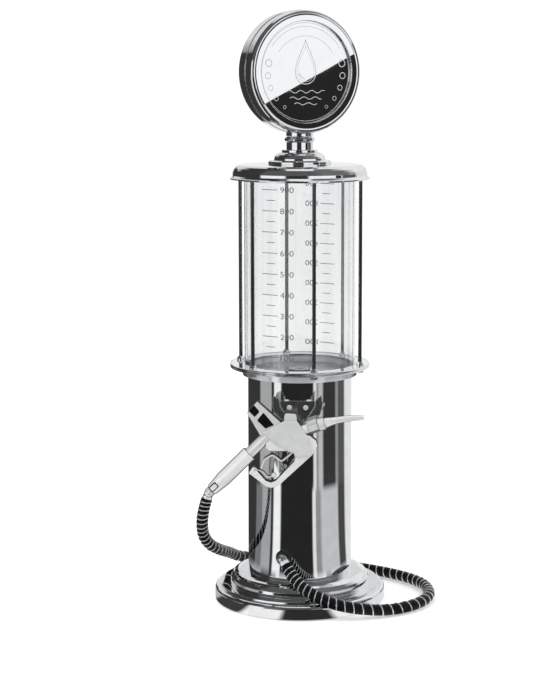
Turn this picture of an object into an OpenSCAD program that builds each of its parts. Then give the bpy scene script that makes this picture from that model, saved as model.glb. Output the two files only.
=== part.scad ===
/* [Base] */
// Width of the bottom step's rim beyond the ledge
step_w = 4.5; // [1:0.5:10]
// Height of the bottom step above the ground
step_z = 11.5; // [9:0.5:15]
// Rounding of the bottom step
step_round = 3; // [2.5:0.5:4]
// Width of the narrow ledge between the steps
ledge_w = 8.5; // [5:0.5:9]
// Height of the ledge above the ground
ledge_z = 13.5; // [13:0.5:16]
// Width of the upper tier round the column
tier_w = 14.5; // [12:0.5:16.5]
// Height of the upper tier above the ground
tier_z = 24; // [22:0.5:30]
// Rounding of the upper tier's shoulder
tier_round = 8; // [4:0.5:9]
// Wall of the cast base
base_wall = 2; // [1.5:0.25:2.25]
// Gap between the base's rim and the ground
base_gap = 0.8; // [0.5:0.1:2]

/* [Feet and bottom plate] */
// Distance of the rubber ring's middle from the base's rim
pad_inset = 20; // [18:1:26]
// Width of the rubber ring
pad_w = 14; // [12:1:20]
// Height of the rubber ring
pad_h = 3; // [2.5:0.25:4]
// Number of screws that hold the ring and the plate
foot_count = 4; // [3:1:6]
// Thickness of the bottom plate
plate_t = 2; // [1:0.25:2.5]
// Diameter of the screw posts inside the base
post_d = 7; // [6:0.5:10]
// Shank diameter of the foot screws
foot_screw_d = 3; // [2.5:0.5:4]
// Head diameter of the foot screws
foot_screw_head_d = 6; // [5:0.5:8]
// Head height of the foot screws
foot_screw_head_h = 1.2; // [1:0.1:1.5]
// Length of a foot screw's shank
foot_screw_l = 10; // [8:0.5:13]

/* [Column] */
// Outer diameter of the column
column_d = 85; // [80:1:86]
// Wall of the column tube
column_wall = 1.2; // [0.8:0.1:2]
// Height of the column's top above the ground
column_z = 187; // [180:1:220]
// Height of the ring that the column stands round
foot_ring_h = 6; // [4:0.5:10]
// Radial thickness of that ring
foot_ring_t = 6; // [5:0.5:10]
// Number of screws that hold the column
column_screws_n = 3; // [3:1:6]
// Shank diameter of these screws
column_screw_d = 3.5; // [3:0.5:4]
// Thread length of these screws above the base's top
column_screw_l = 4.5; // [3:0.5:5.5]

/* [Collar and flange] */
// Wall of the collar round the tank's foot
collar_wall = 1.5; // [1:0.25:3]
// Thickness of the collar's web
web_t = 1.5; // [1:0.25:3]
// Height of the collar from its web's underside
collar_h = 6.8; // [5:0.2:10]
// Length of the collar's spigot in the column
spigot_l = 6; // [4:0.5:10]
// Thickness of the spigot
spigot_t = 1.5; // [1:0.25:3]
// Width of the flange round the tank
flange_w = 12.1; // [11:0.1:17]
// Thickness of the flange's plate
flange_t = 2.4; // [1.6:0.1:4]
// Diameter of each rolled bead on the flange's rim
bead_d = 1.7; // [1.2:0.1:2]

/* [Tie rods] */
// Number of tie rods
rod_count = 6; // [3:1:8]
// Diameter of a tie rod
rod_d = 3; // [2.5:0.25:3.5]
// Distance of the rods' axes from the tank
rod_out = 5.8; // [5:0.1:6]
// Diameter of the turned foot of a rod
rod_foot_d = 6.4; // [5:0.2:7]
// Height of the turned foot of a rod
rod_foot_h = 3; // [2:0.5:5]
// Width across flats of the nuts under the flange
rod_nut_af = 5.5; // [5:0.5:6]
// Height of the nuts under the flange
rod_nut_h = 3.2; // [2.8:0.2:5]

/* [Tank] */
// Step of the clear tank's wall outside the column
tank_step = 2.5; // [1.5:0.25:4]
// Wall of the clear tank
tank_wall = 1.6; // [1.2:0.1:2.4]
// Length of the clear tank
tank_h = 156.8; // [120:1:200]
// Thickness of the tank's steel floor
floor_t = 1.5; // [1:0.25:3]
// Thickness of the lower and upper gaskets
gasket_t = 0.7; // [0.5:0.1:1.5]
// Width of the ring on top of the tank, outside the tank
top_ring_w = 8.2; // [7.8:0.1:9]
// Thickness of the ring on top of the tank
top_ring_t = 2.5; // [2.2:0.1:4]
// Depth of the tank's seat in that ring
ring_seat = 1.3; // [1:0.1:1.6]

/* [Outlet and inner tube] */
// Diameter of the outlet's flange in the tank
outlet_flange_d = 18; // [14:1:24]
// Thickness of the outlet's flange
outlet_flange_t = 1.2; // [1:0.1:2]
// Diameter of the outlet's threaded body
outlet_d = 10; // [8:0.5:12]
// Length of the threaded body below the web
outlet_l = 5.5; // [5:0.5:9]
// Width across flats of the outlet nut
outlet_nut_af = 16; // [14:1:20]
// Height of the outlet nut
outlet_nut_h = 4; // [3:0.5:5]
// Diameter of the hose barbs
barb_d = 5.8; // [5:0.1:5.8]
// Length of the hose barbs
barb_l = 14; // [8:1:16]
// Bore through the fittings
flow_d = 3.6; // [2:0.2:4]
// Outer diameter of the tube inside the column
inner_tube_d = 8; // [8:0.2:9]
// Bore of the tube inside the column
inner_tube_bore = 6.4; // [6.2:0.1:6.6]
// Outer diameter of the tube clamps
clamp_d = 10; // [9.5:0.5:12]
// Width of the tube clamps
clamp_w = 5; // [4:0.5:7]
// Height of the hose inlet on the column
inlet_z = 43.7; // [40:0.5:60]
// Diameter of the rubber grommet
grommet_d = 13; // [12:0.5:16]
// Height of the grommet outside the column
grommet_h = 2.8; // [2:0.2:4]
// Diameter of the elbow's stub through the column
elbow_d = 7.4; // [7:0.2:9]
// Diameter of the elbow's ball
elbow_ball_d = 8.4; // [8:0.2:10]
// Distance from the column's surface to the elbow's ball
elbow_reach = 5; // [4.5:0.25:7]
// Length of the hose ferrule at the inlet
ferrule_l = 3; // [2:0.5:5]
// Outer diameter of that ferrule
ferrule_d = 8.6; // [8:0.2:10]
// Depth of that ferrule over the elbow's ball
ferrule_sink = 1.2; // [0.8:0.1:1.6]

/* [Hose] */
// Outer diameter of the black hose
hose_d = 7.4; // [6:0.2:8]
// Diameter of the steel wire wound round the hose
wire_d = 1.1; // [0.8:0.1:1.4]
// Outer diameter of the wound wire
wound_d = 10; // [9.6:0.1:10.4]

/* [Nozzle holder] */
// Turn of the nozzle and its holder round the column
nozzle_turn = 15; // [0:1:15]
// Width of the holder across its prongs
holder_w = 40; // [36:1:44]
// Height of the holder's prongs above the stud's seat
holder_h = 25; // [20:1:30]
// Width of the holder's back plate
holder_plate_w = 28; // [26:1:32]
// Height of the holder's back plate above the stud's seat
holder_plate_h = 19.5; // [17:0.5:24]
// Sheet thickness of the holder
holder_t = 1.5; // [1:0.1:2]
// Distance from the column to the front of the back plate
holder_pad = 2.2; // [1.8:0.1:3]
// Gap between the back plate and the fork
fork_gap = 2.5; // [2.4:0.1:4]
// Spacing of the holder's two screws
holder_screws_w = 13; // [12.5:0.5:16]
// Height of these screws above the stud's seat
holder_screws_h = 14.2; // [12:0.2:16]
// Head diameter of these screws
holder_screw_head_d = 4.8; // [4:0.2:5]
// Head height of these screws
holder_screw_head_h = 1.9; // [1.2:0.1:2.2]
// Shank diameter of these screws
holder_screw_d = 3; // [2.5:0.5:3.5]
// Shank length of these screws
holder_screw_l = 9; // [7:0.5:12]

/* [Nozzle] */
// Distance from the column's surface to the nozzle's middle plane
nozzle_gap = 13.5; // [12.5:0.5:19.5]
// Height of the nozzle's reference point
nozzle_z = 150; // [140:1:152]
// Length that the outlines of the nozzle's body follow
body_l = 43; // [41:0.5:44]
// Height that the outlines of the nozzle's body follow
body_h = 29; // [28:0.5:30]
// Thickness of the body's casting without its covers
body_t = 10.4; // [10.4:0.2:11]
// Thickness of a side cover
cover_t = 0.8; // [0.5:0.1:1]
// Inset of a side cover from the body's outline
cover_inset = 1.1; // [0.6:0.1:1.4]
// Thickness of the outlet lobe
lobe_t = 8; // [6:0.5:9]
// Thickness of the trigger guard
guard_t = 8; // [8:0.5:9]
// Thickness of the lever housing
housing_t = 9; // [8:0.5:10]
// Thickness of the cap on the body
cap_t = 9; // [7:0.5:10]
// Thickness of the hook frame behind the body
hook_t = 9; // [8:0.5:10]
// Depth of the two recesses in the hook frame
hook_recess = 6.5; // [4:0.5:7]
// Diameter of the hanging stud
stud_d = 4.4; // [4:0.2:4.6]
// Head diameter of the hanging stud
stud_head_d = 7.2; // [6.6:0.2:7.4]
// Head thickness of the hanging stud
stud_head_t = 1.8; // [1.2:0.1:1.8]
// Depth of the stud's thread in the body
stud_thread = 4; // [3:0.5:5]

/* [Handle] */
// Slope of the handle
handle_slope = 45; // [43:1:47]
// Diameter of the handle's neck
neck_d = 9.2; // [8:0.2:9.4]
// Visible length of the neck
neck_l = 15.8; // [14:0.2:18]
// Depth of the neck in the body
neck_socket = 5; // [4:0.5:5]
// Diameter of the tube inside the grip
core_d = 6.4; // [6:0.2:7]
// Diameter of the grip
grip_d = 12.6; // [11:0.2:13]
// Length of the grip
grip_l = 42.6; // [40:0.2:46]
// Diameter of the grip's lower end
grip_end_d = 9.9; // [9:0.1:10.5]
// Length of the grip's taper
grip_taper_l = 13; // [8:0.5:20]
// Rounding of the grip's edges
grip_round = 1; // [0.5:0.1:1.2]
// Diameter of the swivel nut
swivel_d = 8.4; // [8:0.1:9]
// Length of the swivel nut
swivel_l = 3.4; // [3:0.2:4]
// Diameter of the ferrule's ball in the swivel nut
swivel_ball_d = 7.6; // [7.4:0.1:7.8]
// Outer diameter of the ferrule on the swivel
swivel_ferrule_d = 7.8; // [7.6:0.1:8.4]
// Distance from the swivel's centre to the hose
ferrule_reach = 4.6; // [4.4:0.2:5.4]
// Tilt of the hose ferrule from the vertical
ferrule_tilt = 19; // [17:1:23]

/* [Spout] */
// Slope of the spout's nut
nut_slope = 20; // [17:1:22]
// Width across flats of the spout's nut
spout_nut_af = 9.4; // [9:0.1:10]
// Length of the spout's nut
spout_nut_l = 8.2; // [6:0.2:10]
// Diameter of the spout's ring
spout_ring_d = 10.6; // [9.4:0.1:11]
// Length of the spout's ring
spout_ring_l = 5.4; // [4:0.2:7]
// Slope of the spout's ring
ring_slope = 16; // [14:1:18]
// Length of the spout
spout_l = 31.5; // [24:0.5:40]
// Slope of the spout at its tip
spout_tip_slope = 0; // [0:1:6]
// Diameter of the spout at its root
spout_root_d = 8.8; // [8:0.1:9.2]
// Diameter of the spout after its short cone
spout_mid_d = 5.4; // [5:0.1:6]
// Diameter of the spout at its tip
spout_tip_d = 3.9; // [3.8:0.1:4.5]
// Bore of the spout
spout_bore = 2.6; // [2:0.1:2.8]
// Diameter of the outlet boss under the nut
boss_d = 8.2; // [7:0.2:8.6]

/* [Trigger and valve] */
// Width of the trigger
trigger_w = 7; // [6:0.2:7]
// Sheet thickness of the trigger
trigger_t = 1.4; // [1:0.1:1.4]
// Diameter of the trigger's eye
trigger_eye_d = 5.2; // [4.6:0.1:5.2]
// Diameter of the trigger's pin
trigger_pin_d = 2; // [1.5:0.1:2.4]
// Sheet thickness of the tongue under the trigger
tongue_t = 1.2; // [0.8:0.1:1.2]
// Width of the tongue under the trigger
tongue_w = 3; // [2:0.2:4]
// Length of the tongue
tongue_l = 9; // [6:0.2:9]
// Diameter of the valve stem
stem_d = 3; // [2.4:0.1:3]
// Diameter of the valve's chamber
chamber_d = 7.2; // [6.6:0.1:7.2]
// Length of the valve's chamber
chamber_l = 9; // [8:0.2:9]
// Diameter of the valve's head
valve_head_d = 5.8; // [5.2:0.1:5.8]
// Thickness of the valve's head
valve_head_t = 1.4; // [1:0.1:1.6]
// Thickness of the valve's rubber seat
seat_t = 1; // [0.8:0.1:1.2]
// Bore of the valve's rubber seat
seat_bore = 4.4; // [4:0.1:4.6]
// Depth of the gallery under the seat
gallery_l = 4; // [3.6:0.2:4.2]
// Curls of the valve's spring
valve_curls = 5; // [4:1:7]
// Wire of the valve's spring
valve_wire = 0.5; // [0.4:0.1:0.6]
// Mean diameter of the valve's spring
valve_spring_d = 4.6; // [4.2:0.1:5]
// Width of the hold-open latch
latch_w = 4; // [3:0.2:4]
// Sheet thickness of the hold-open latch
latch_t = 1.1; // [0.8:0.1:1.2]
// Diameter of the latch's eye
latch_eye_d = 3; // [2.6:0.1:3]
// Diameter of the latch's pin
latch_pin_d = 1.2; // [1:0.1:1.4]
// Diameter of the latch's knob
knob_d = 4.4; // [3.6:0.1:4.4]

/* [Lid] */
// Width of the lid's lip beyond the ring on the tank
lid_w = 3.4; // [3.1:0.1:5.8]
// Height of the lid's lip
lip_h = 1.5; // [1:0.1:2]
// Width of the lid's shell beyond that ring
shell_w = 1.4; // [1.4:0.1:2.2]
// Height of the lid
lid_h = 12.3; // [11:0.1:16]
// Width of the lid's rounded shoulder
shoulder_w = 5.6; // [4:0.2:9]
// Fall of the lid's top towards its edge
lid_fall = 0.8; // [0.4:0.1:1.5]
// Thickness of the lid's top
lid_wall = 1.4; // [1:0.1:1.8]
// Depth of the lid's rim below the ring's top
lid_drop = 2; // [1:0.1:2.2]
// Width of the lid's seat on its gasket
lid_seat_w = 3.2; // [2.8:0.1:5]
// Diameter of the finial's base
finial_d = 51; // [44:1:60]
// Height of the finial's base
finial_h = 2.7; // [2:0.1:4]
// Diameter of the finial's dome at its foot
dome_d = 41.8; // [36:0.2:46]
// Diameter of the finial's dome at its top
dome_top_d = 29.8; // [26:0.2:34]
// Height of the finial's dome
dome_h = 6.3; // [4:0.1:10]
// Diameter of the finial's threaded spigot
finial_spigot_d = 12; // [10:0.5:14]
// Length of that spigot below the lid's top
finial_spigot_l = 5; // [4.6:0.2:5]
// Width across flats of the finial's nut
finial_nut_af = 17; // [16:0.5:20]
// Height of the finial's nut
finial_nut_h = 3; // [2:0.2:3.2]

/* [Neck and sign] */
// Diameter of the disc at the neck's foot
neck_disc_d = 29; // [26:0.5:32]
// Height of that disc
neck_disc_h = 1.9; // [1:0.1:3]
// Diameter of the neck's waist
waist_d = 21.6; // [18:0.2:24]
// Height of the neck's waist
waist_h = 6; // [4:0.2:10]
// Diameter of the neck's bead
neck_bead_d = 24.8; // [23:0.2:28]
// Height of the neck's bead
neck_bead_h = 4.8; // [4:0.2:8]
// Diameter of the sign's socket
socket_d = 22; // [18:0.2:24]
// Height of the sign's socket under the round sign
socket_h = 1.6; // [1:0.1:4]
// Diameter of the threaded stem
sign_stem_d = 5; // [4:0.5:6]
// Width across flats of the stem's nut
stem_nut_af = 8; // [7:0.5:10]
// Height of the stem's nut
stem_nut_h = 3; // [2.4:0.2:4]
// Outer diameter of the round sign, over its band
sign_d = 98.2; // [80:0.2:120]
// Thickness of the round sign
sign_t = 26; // [22:0.5:32]
// Direction that the sign faces
sign_turn = 44; // [0:1:360]
// Width of the band round the sign
band_w = 2; // [1.5:0.1:3]
// Height of the band above the shells
band_h = 0.4; // [0.3:0.1:0.8]
// Wall of the sign's shells
sign_wall = 1.5; // [1:0.1:2]
// Rounding of the sign's rim
sign_round = 3; // [2.5:0.1:4]
// Width of the flat rim round the sign's face
rim_w = 8; // [7:0.5:12]
// Thickness of the sign's face plates
face_t = 1.2; // [0.8:0.1:2]
// Depth of the face behind the rim
face_depth = 2.6; // [2.2:0.1:3]
// Radial thickness of the spacer ring inside the sign
spacer_t = 4; // [3:0.5:8]

/* [Fits] */
// Radial clearance of a pin, shaft or thread in its hole
running_fit = 0.05; // [0.02:0.01:0.08]
// Clearance between pieces that pass each other
part_gap = 0.3; // [0.25:0.05:0.4]

/* [Hidden] */
$fn = 96;
cut = 1;

chrome = "#d9dcde";
steel = "#c3c7ca";
satin = "#b7bbbe";
brass = "#b9a36a";
rubber = "#1f2022";
plastic = "#2b2d30";
silicone = "#d8dcdc";
clear = "#dfe8ec66";
mirror_tone = "#9aa0a5";

// Diameters that follow from the column, outwards in the base and in the tank
tier_d = column_d + 2 * tier_w;
ledge_d = tier_d + 2 * ledge_w;
base_d = ledge_d + 2 * step_w;
foot_circle_d = base_d - 2 * pad_inset;
tank_d = column_d + 2 * tank_step;
collar_d = tank_d + 2 * collar_wall;
flange_d = tank_d + 2 * flange_w;
rod_circle_d = tank_d + 2 * rod_out;
top_ring_d = tank_d + 2 * top_ring_w;
lid_d = top_ring_d + 2 * lid_w;
shell_d = top_ring_d + 2 * shell_w;
lid_flat_d = shell_d - 2 * shoulder_w;
lid_bore_d = top_ring_d - 2 * lid_seat_w;
nozzle_reach = column_d / 2 + nozzle_gap;

// Heights that follow from the stack
plate_z = pad_h;
flange_z = column_z + collar_h;
bead_drop = (2 * bead_d - flange_t) / 2;
flange_top = flange_z + flange_t;
floor_z = column_z + web_t;
tank_z = floor_z + gasket_t;
tank_top = tank_z + tank_h;
ring_z = tank_top + gasket_t - ring_seat;
ring_top = ring_z + top_ring_t;
lid_z = ring_top - lid_drop;
lid_top = lid_z + lid_h;
finial_top = lid_top + finial_h + dome_h;
neck_top = finial_top + neck_disc_h + waist_h + neck_bead_h;
sign_z = neck_top + part_gap + socket_h + sign_d / 2;
lid_gasket_t = 2 * gasket_t;
lid_seat = ring_top + running_fit + lid_gasket_t;
lid_rise = lid_h - lid_fall;

// Thickness of the nozzle over its covers, and the plane of its fork
nozzle_t = body_t + 2 * cover_t;
plate_front = column_d / 2 + holder_pad;
fork_back = plate_front + fork_gap;
seat_shares = [0, 0.1];
elbow_tilt = 135;
elbow_swing = -28;

// Outlines of the nozzle, as shares of body_l and body_h
body_shares = [[-0.626, 0.007], [-0.233, 0.328], [0.005, 0.331], [0.205, -0.107], [0.265, -0.38],
    [0.27, -0.631], [0.13, -0.66], [-0.026, -0.666], [-0.056, -0.562], [-0.147, -0.517],
    [-0.444, -0.252]];
lobe_shares = [[0.17, -0.05], [0.233, -0.079], [0.351, -0.217], [0.379, -0.352], [0.298, -0.576],
    [0.27, -0.631], [0.18, -0.6], [0.12, -0.3]];
housing_shares = [[-0.563, -0.297], [-0.49, -0.19], [-0.35, -0.12], [-0.2, -0.3], [-0.15, -0.46],
    [-0.205, -0.503], [-0.5, -0.503], [-0.563, -0.43]];
guard_out_shares = [[0.265, -0.6], [0.27, -0.631], [-0.32, -1.45], [-0.39, -1.51], [-0.479, -1.535],
    [-0.56, -1.5], [-0.884, -1.131]];
guard_in_shares = [[-0.8, -0.95], [-0.575, -1.34], [-0.48, -1.39], [-0.39, -1.34], [-0.047, -0.803],
    [-0.02, -0.64], [0.1, -0.5], [0.22, -0.5]];
cap_shares = [[-0.232, 0.3], [-0.225, 0.49], [-0.195, 0.535], [-0.03, 0.528], [-0.005, 0.49],
    [0.003, 0.3]];
hook_shares = [[-0.723, 0.855], [-0.907, 0.534], [-0.667, -0.083], [-0.45, -0.1], [-0.25, 0.2],
    [-0.309, 0.303]];
upper_recess_shares = [[-0.791, 0.71], [-0.688, 0.555], [-0.77, 0.428], [-0.877, 0.586]];
lower_recess_shares = [[-0.614, 0.507], [-0.456, 0.193], [-0.563, 0.11], [-0.719, 0.317]];
slot_shares = [[-0.112, -0.42], [-0.19, -0.49], [-0.19, -0.75], [0.052, -0.75], [0.052, -0.42]];

// Places on the nozzle, as shares of body_l and body_h
pivot_shares = [-0.033, -0.466];
neck_shares = [-0.612, -0.217];
valve_shares = [-0.333, -0.138];
outlet_shares = [0.209, 0.1];
lever_shares = [[-0.033, -0.466], [-0.114, -0.6], [-0.277, -0.803], [-0.447, -0.624], [-0.595, -0.752],
    [-0.658, -0.997]];
tongue_shares = [-0.34, -0.74];
latch_pivot_shares = [-0.767, -1.034];
latch_shares = [[-0.767, -1.034], [-0.626, -1.1], [-0.535, -1.265], [-0.43, -1.214]];

// Outline of the holder's fork, right half from its notch outwards, as shares
prong_shares = [[0.2, 0.28], [0.34, 0.62], [0.36, 0.84], [0.475, 1], [0.5, 0.68], [0.45, 0.36],
    [0.3, -0.02], [0.16, -0.22], [0, -0.26]];

// Places of the tube in the column, as shares of its reach forwards and of its rise
inner_shares = [[0, 1], [0, 0.953], [0, 0.888], [-0.03, 0.771], [-0.17, 0.59], [-0.28, 0.394],
    [-0.25, 0.22], [-0.06, 0.082], [0.28, 0.017], [0.535, 0], [0.76, 0], [1, 0]];
// Route of the hose, from the inlet to the nozzle
hose_route = [[3.75, -49.5, 39.45], [12, -53.9, 30.3], [22, -57.5, 23.5], [34, -58.5, 18],
    [46, -57, 13.5], [57.5, -52.5, 10.3], [68.5, -46, 7.8], [79, -38.5, 6], [88.5, -29.5, 5.1],
    [97, -19.5, 5.1], [103, -8.5, 5.1], [106, 4, 5.1], [106, 17, 5.1], [102.5, 29.3, 5.1],
    [96.6, 41.4, 5.1], [88.4, 51, 5.1], [78.4, 58.6, 5.1], [67.2, 64.8, 5.1], [55.2, 69.6, 5.1],
    [40, 74.2, 5.1], [24, 78.2, 5.1], [8, 82.1, 5.1], [-7.2, 86.1, 5.1], [-22, 89.4, 5.1],
    [-37.3, 89.4, 5.1], [-50.6, 84.5, 5.4], [-60.9, 75.8, 7], [-67.3, 65, 9.6], [-70.6, 53, 13.4],
    [-71, 39.6, 18.3], [-69.6, 25.5, 23.7], [-67.5, 9.5, 29.2], [-65.2, -6, 34.3], [-63, -20.5, 39.4],
    [-61.7, -34.5, 44.8], [-61.2, -47.8, 50.9], [-61.3, -60.8, 60.4], [-60.3, -68.7, 71.4],
    [-58.1, -72.4, 83.2], [-54.85, -72.7, 95.05]];
// Pitch of the wound wire, at shares of the hose's length from the inlet
pitch_table = [[0, 6.8], [0.17, 9.6], [0.42, 7.1], [0.7, 5.3], [1, 5.2]];
route_steps = 700;
tube_rings = 48;
tube_sides = 10;
curl_rings = 8;
// Length of a strip's bends on each side of a corner
bend_ease = 1.6;
// Bore's swell inside the elbow
elbow_swell = 1.2;
wire_sides = 6;
inner_rings = 16;
spout_rings = 12;
spout_sides = 20;

function arc(c, r, a0, a1, n = 6) =
    [for (i = [0:n]) let (a = a0 + (a1 - a0) * i / n) c + r * [cos(a), sin(a)]];
function unit(v) = v / norm(v);
function mix(a, b, t) = a + (b - a) * t;
// Outline points or one place, from shares of the nozzle body's size
function on_body(s) = [s.x * body_l, s.y * body_h];
function body_outline(shares) = [for (s = shares) on_body(s)];

// A smooth curve through the points of a route, at a share t of its steps
function route_at(p, t) = let (n = len(p) - 1, i = min(floor(t * n), n - 1), f = t * n - i,
    a = p[max(i - 1, 0)], b = p[i], c = p[i + 1], d = p[min(i + 2, n)])
    (2 * b + (c - a) * f + (2 * a - 5 * b + 4 * c - d) * f * f
        + (3 * b - 3 * c + d - a) * f * f * f) / 2;
// Pairs of length and point along a route
function walk(p) = [for (i = 0, q = p[0], s = 0; i <= route_steps;
    i = i + 1, r = route_at(p, min(i / route_steps, 1)), s = s + norm(r - q), q = r) [s, q]];
function axis_table(w, k) = [for (e = w) [e[0], e[1][k]]];
function spot(tables, s) = [lookup(s, tables[0]), lookup(s, tables[1]), lookup(s, tables[2])];
// Points with each inner corner eased into a short curve, starting r before it
function eased(p, r) = concat([p[0]], [for (i = [1:len(p) - 2])
    let (a = p[i] + r * unit(p[i - 1] - p[i]), b = p[i] + r * unit(p[i + 1] - p[i]))
    for (t = [0:0.25:1]) mix(mix(a, p[i], t), mix(p[i], b, t), t)], [p[len(p) - 1]]);
// The outline of a strip t thick along points, with mitred corners
function strip_outline(p, t) = let (n = len(p), side = [for (i = [0:n - 1])
    let (a = unit(p[min(i + 1, n - 1)] - p[min(i, n - 2)]), b = unit(p[max(i, 1)] - p[max(i - 1, 0)]),
        m = unit([-a.y - b.y, a.x + b.x])) m * t / 2 / (m * [-a.y, a.x])])
    concat(p + side, [for (i = [n - 1:-1:0]) p[i] - side[i]]);
// Direction and a steady side direction at each point of a path
function frames(p) = [for (i = 0, t = unit(p[1] - p[0]), v = unit(cross(t, [t.z, t.x, t.y]));
    i < len(p);
    i = i + 1, t = unit(p[min(i + 1, len(p) - 1)] - p[min(i, len(p)) - 1]),
    v = unit(v - (v * t) * t)) [t, v]];
function ring_points(p, fr, r, sides) = [for (j = [0:sides - 1]) let (a = 360 * j / sides)
    p + r * (cos(a) * fr[1] + sin(a) * cross(fr[0], fr[1]))];
// Turns of the wound wire up to length s
function turns_at(s, knots, i = 0) = i >= len(knots) - 1 || s <= knots[i][0] ? 0
    : let (e = min(s, knots[i + 1][0]), span = knots[i + 1][0] - knots[i][0],
        d0 = knots[i][1], d1 = mix(knots[i][1], knots[i + 1][1], (e - knots[i][0]) / span))
    (e - knots[i][0]) * (d0 + d1) / 2 + turns_at(s, knots, i + 1);

// A tube with the radii r along a path, and a bore where one is given
module swept(p, r, sides, bore = 0) {
    fr = frames(p);
    n = len(p);
    outer = [for (i = [0:n - 1]) each ring_points(p[i], fr[i], r[i], sides)];
    inner = bore == 0 ? [] : [for (i = [0:n - 1]) each ring_points(p[i], fr[i], bore, sides)];
    m = n * sides;
    skin = [for (i = [0:n - 2]) for (j = [0:sides - 1])
        let (a = i * sides + j, b = i * sides + (j + 1) % sides)
        each [[a, a + sides, b + sides], [a, b + sides, b]]];
    lining = bore == 0 ? [] : [for (f = skin) [f[2] + m, f[1] + m, f[0] + m]];
    e = (n - 1) * sides;
    ends = bore == 0
        ? [for (j = [1:sides - 2]) each [[0, j, j + 1], [e, e + j + 1, e + j]]]
        : [for (j = [0:sides - 1]) let (k = (j + 1) % sides)
            each [[j, k, k + m], [j, k + m, j + m],
                [e + j, e + k + m, e + k], [e + j, e + j + m, e + k + m]]];
    polyhedron(concat(outer, inner), concat(skin, lining, ends));
}

module spin(points) rotate_extrude() polygon(points);
module tube(d, bore, h) difference() {
    cylinder(h = h, d = d);
    translate([0, 0, -cut]) cylinder(h = h + 2 * cut, d = bore);
}
module hex(af, h) cylinder(h = h, d = af / cos(30), $fn = 6);
module round_about(n, d, phase = 0) for (i = [0:n - 1])
    rotate([0, 0, phase + 360 * i / n]) translate([0, -d / 2, 0]) children();
// A slab with an upright outline, t thick about the nozzle's middle plane
module slab(points, t) rotate([90, 0, 0]) linear_extrude(t, center = true) polygon(points);
// A bent strip along points in the nozzle's plane
module strip(p, t, w) slab(strip_outline(eased(p, bend_ease), t), w);
// A pin across the nozzle's plane at point q
module crossways(q, d, l) translate([q.x, 0, q.y]) rotate([90, 0, 0])
    translate([0, 0, -l / 2]) cylinder(h = l, d = d);
module at_nozzle() rotate([0, 0, nozzle_turn]) translate([0, -nozzle_reach, nozzle_z]) children();
// Along a slope in the nozzle's plane, from point q, with the axis as +Z
module sloped(q, slope) translate([q.x, 0, q.y]) rotate([0, 90 - slope, 0]) children();
module at_sign() translate([0, 0, sign_z]) rotate([0, 0, sign_turn]) rotate([90, 0, 0]) children();

// Base
function base_outline(t, low) = concat([[0, tier_z - t]],
    arc([tier_d / 2 - tier_round, tier_z - tier_round], tier_round - t, 90, 0),
    [[tier_d / 2 - t, ledge_z - t], [ledge_d / 2 - t, ledge_z - t], [ledge_d / 2 - t, step_z - t]],
    arc([base_d / 2 - step_round, step_z - step_round], step_round - t, 90, 0),
    [[base_d / 2 - t, low], [0, low]]);
module at_foot_screws() round_about(foot_count, foot_circle_d, 180 / foot_count) children();
module at_column_screws() round_about(column_screws_n, column_d - 2 * column_wall - foot_ring_t,
    180 / column_screws_n) children();

module base_shell() color(chrome) difference() {
    union() {
        difference() {
            spin(base_outline(0, base_gap));
            spin(base_outline(base_wall, base_gap - cut));
        }
        at_foot_screws() translate([0, 0, plate_z + plate_t])
            cylinder(h = tier_z - base_wall / 2 - plate_z - plate_t, d = post_d);
    }
    at_foot_screws()
        translate([0, 0, plate_z]) cylinder(h = plate_t + foot_screw_l, d = foot_screw_d + 2 * running_fit);
    at_column_screws() translate([0, 0, tier_z - base_wall - cut])
        cylinder(h = base_wall + 2 * cut, d = column_screw_d + 2 * running_fit);
}
module base_plate() color(plastic) difference() {
    translate([0, 0, plate_z]) cylinder(h = plate_t, d = base_d - 2 * base_wall - 2 * part_gap);
    at_foot_screws()
        translate([0, 0, plate_z - cut]) cylinder(h = plate_t + 2 * cut, d = foot_screw_d + 2 * running_fit);
}
screw_recess = foot_screw_head_h + base_gap / 2;
module rubber_ring() color(rubber) difference() {
    tube(foot_circle_d + pad_w, foot_circle_d - pad_w, pad_h);
    at_foot_screws() translate([0, 0, -cut]) {
        cylinder(h = cut + screw_recess, d = foot_screw_head_d + 2 * part_gap);
        cylinder(h = pad_h + 2 * cut, d = foot_screw_d + 2 * running_fit);
    }
}
module screw(head_d, head_h, d, l) {
    difference() {
        translate([0, 0, -head_h]) cylinder(h = head_h, d = head_d);
        translate([-head_d / 2, -head_h / 4, -head_h - cut]) cube([head_d, head_h / 2, cut + head_h / 2]);
    }
    cylinder(h = l, d = d);
}
module base_plate_screws() color(steel) at_foot_screws()
    translate([0, 0, screw_recess]) screw(foot_screw_head_d, foot_screw_head_h, foot_screw_d,
        foot_screw_l + plate_z + plate_t - screw_recess - part_gap);

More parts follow.
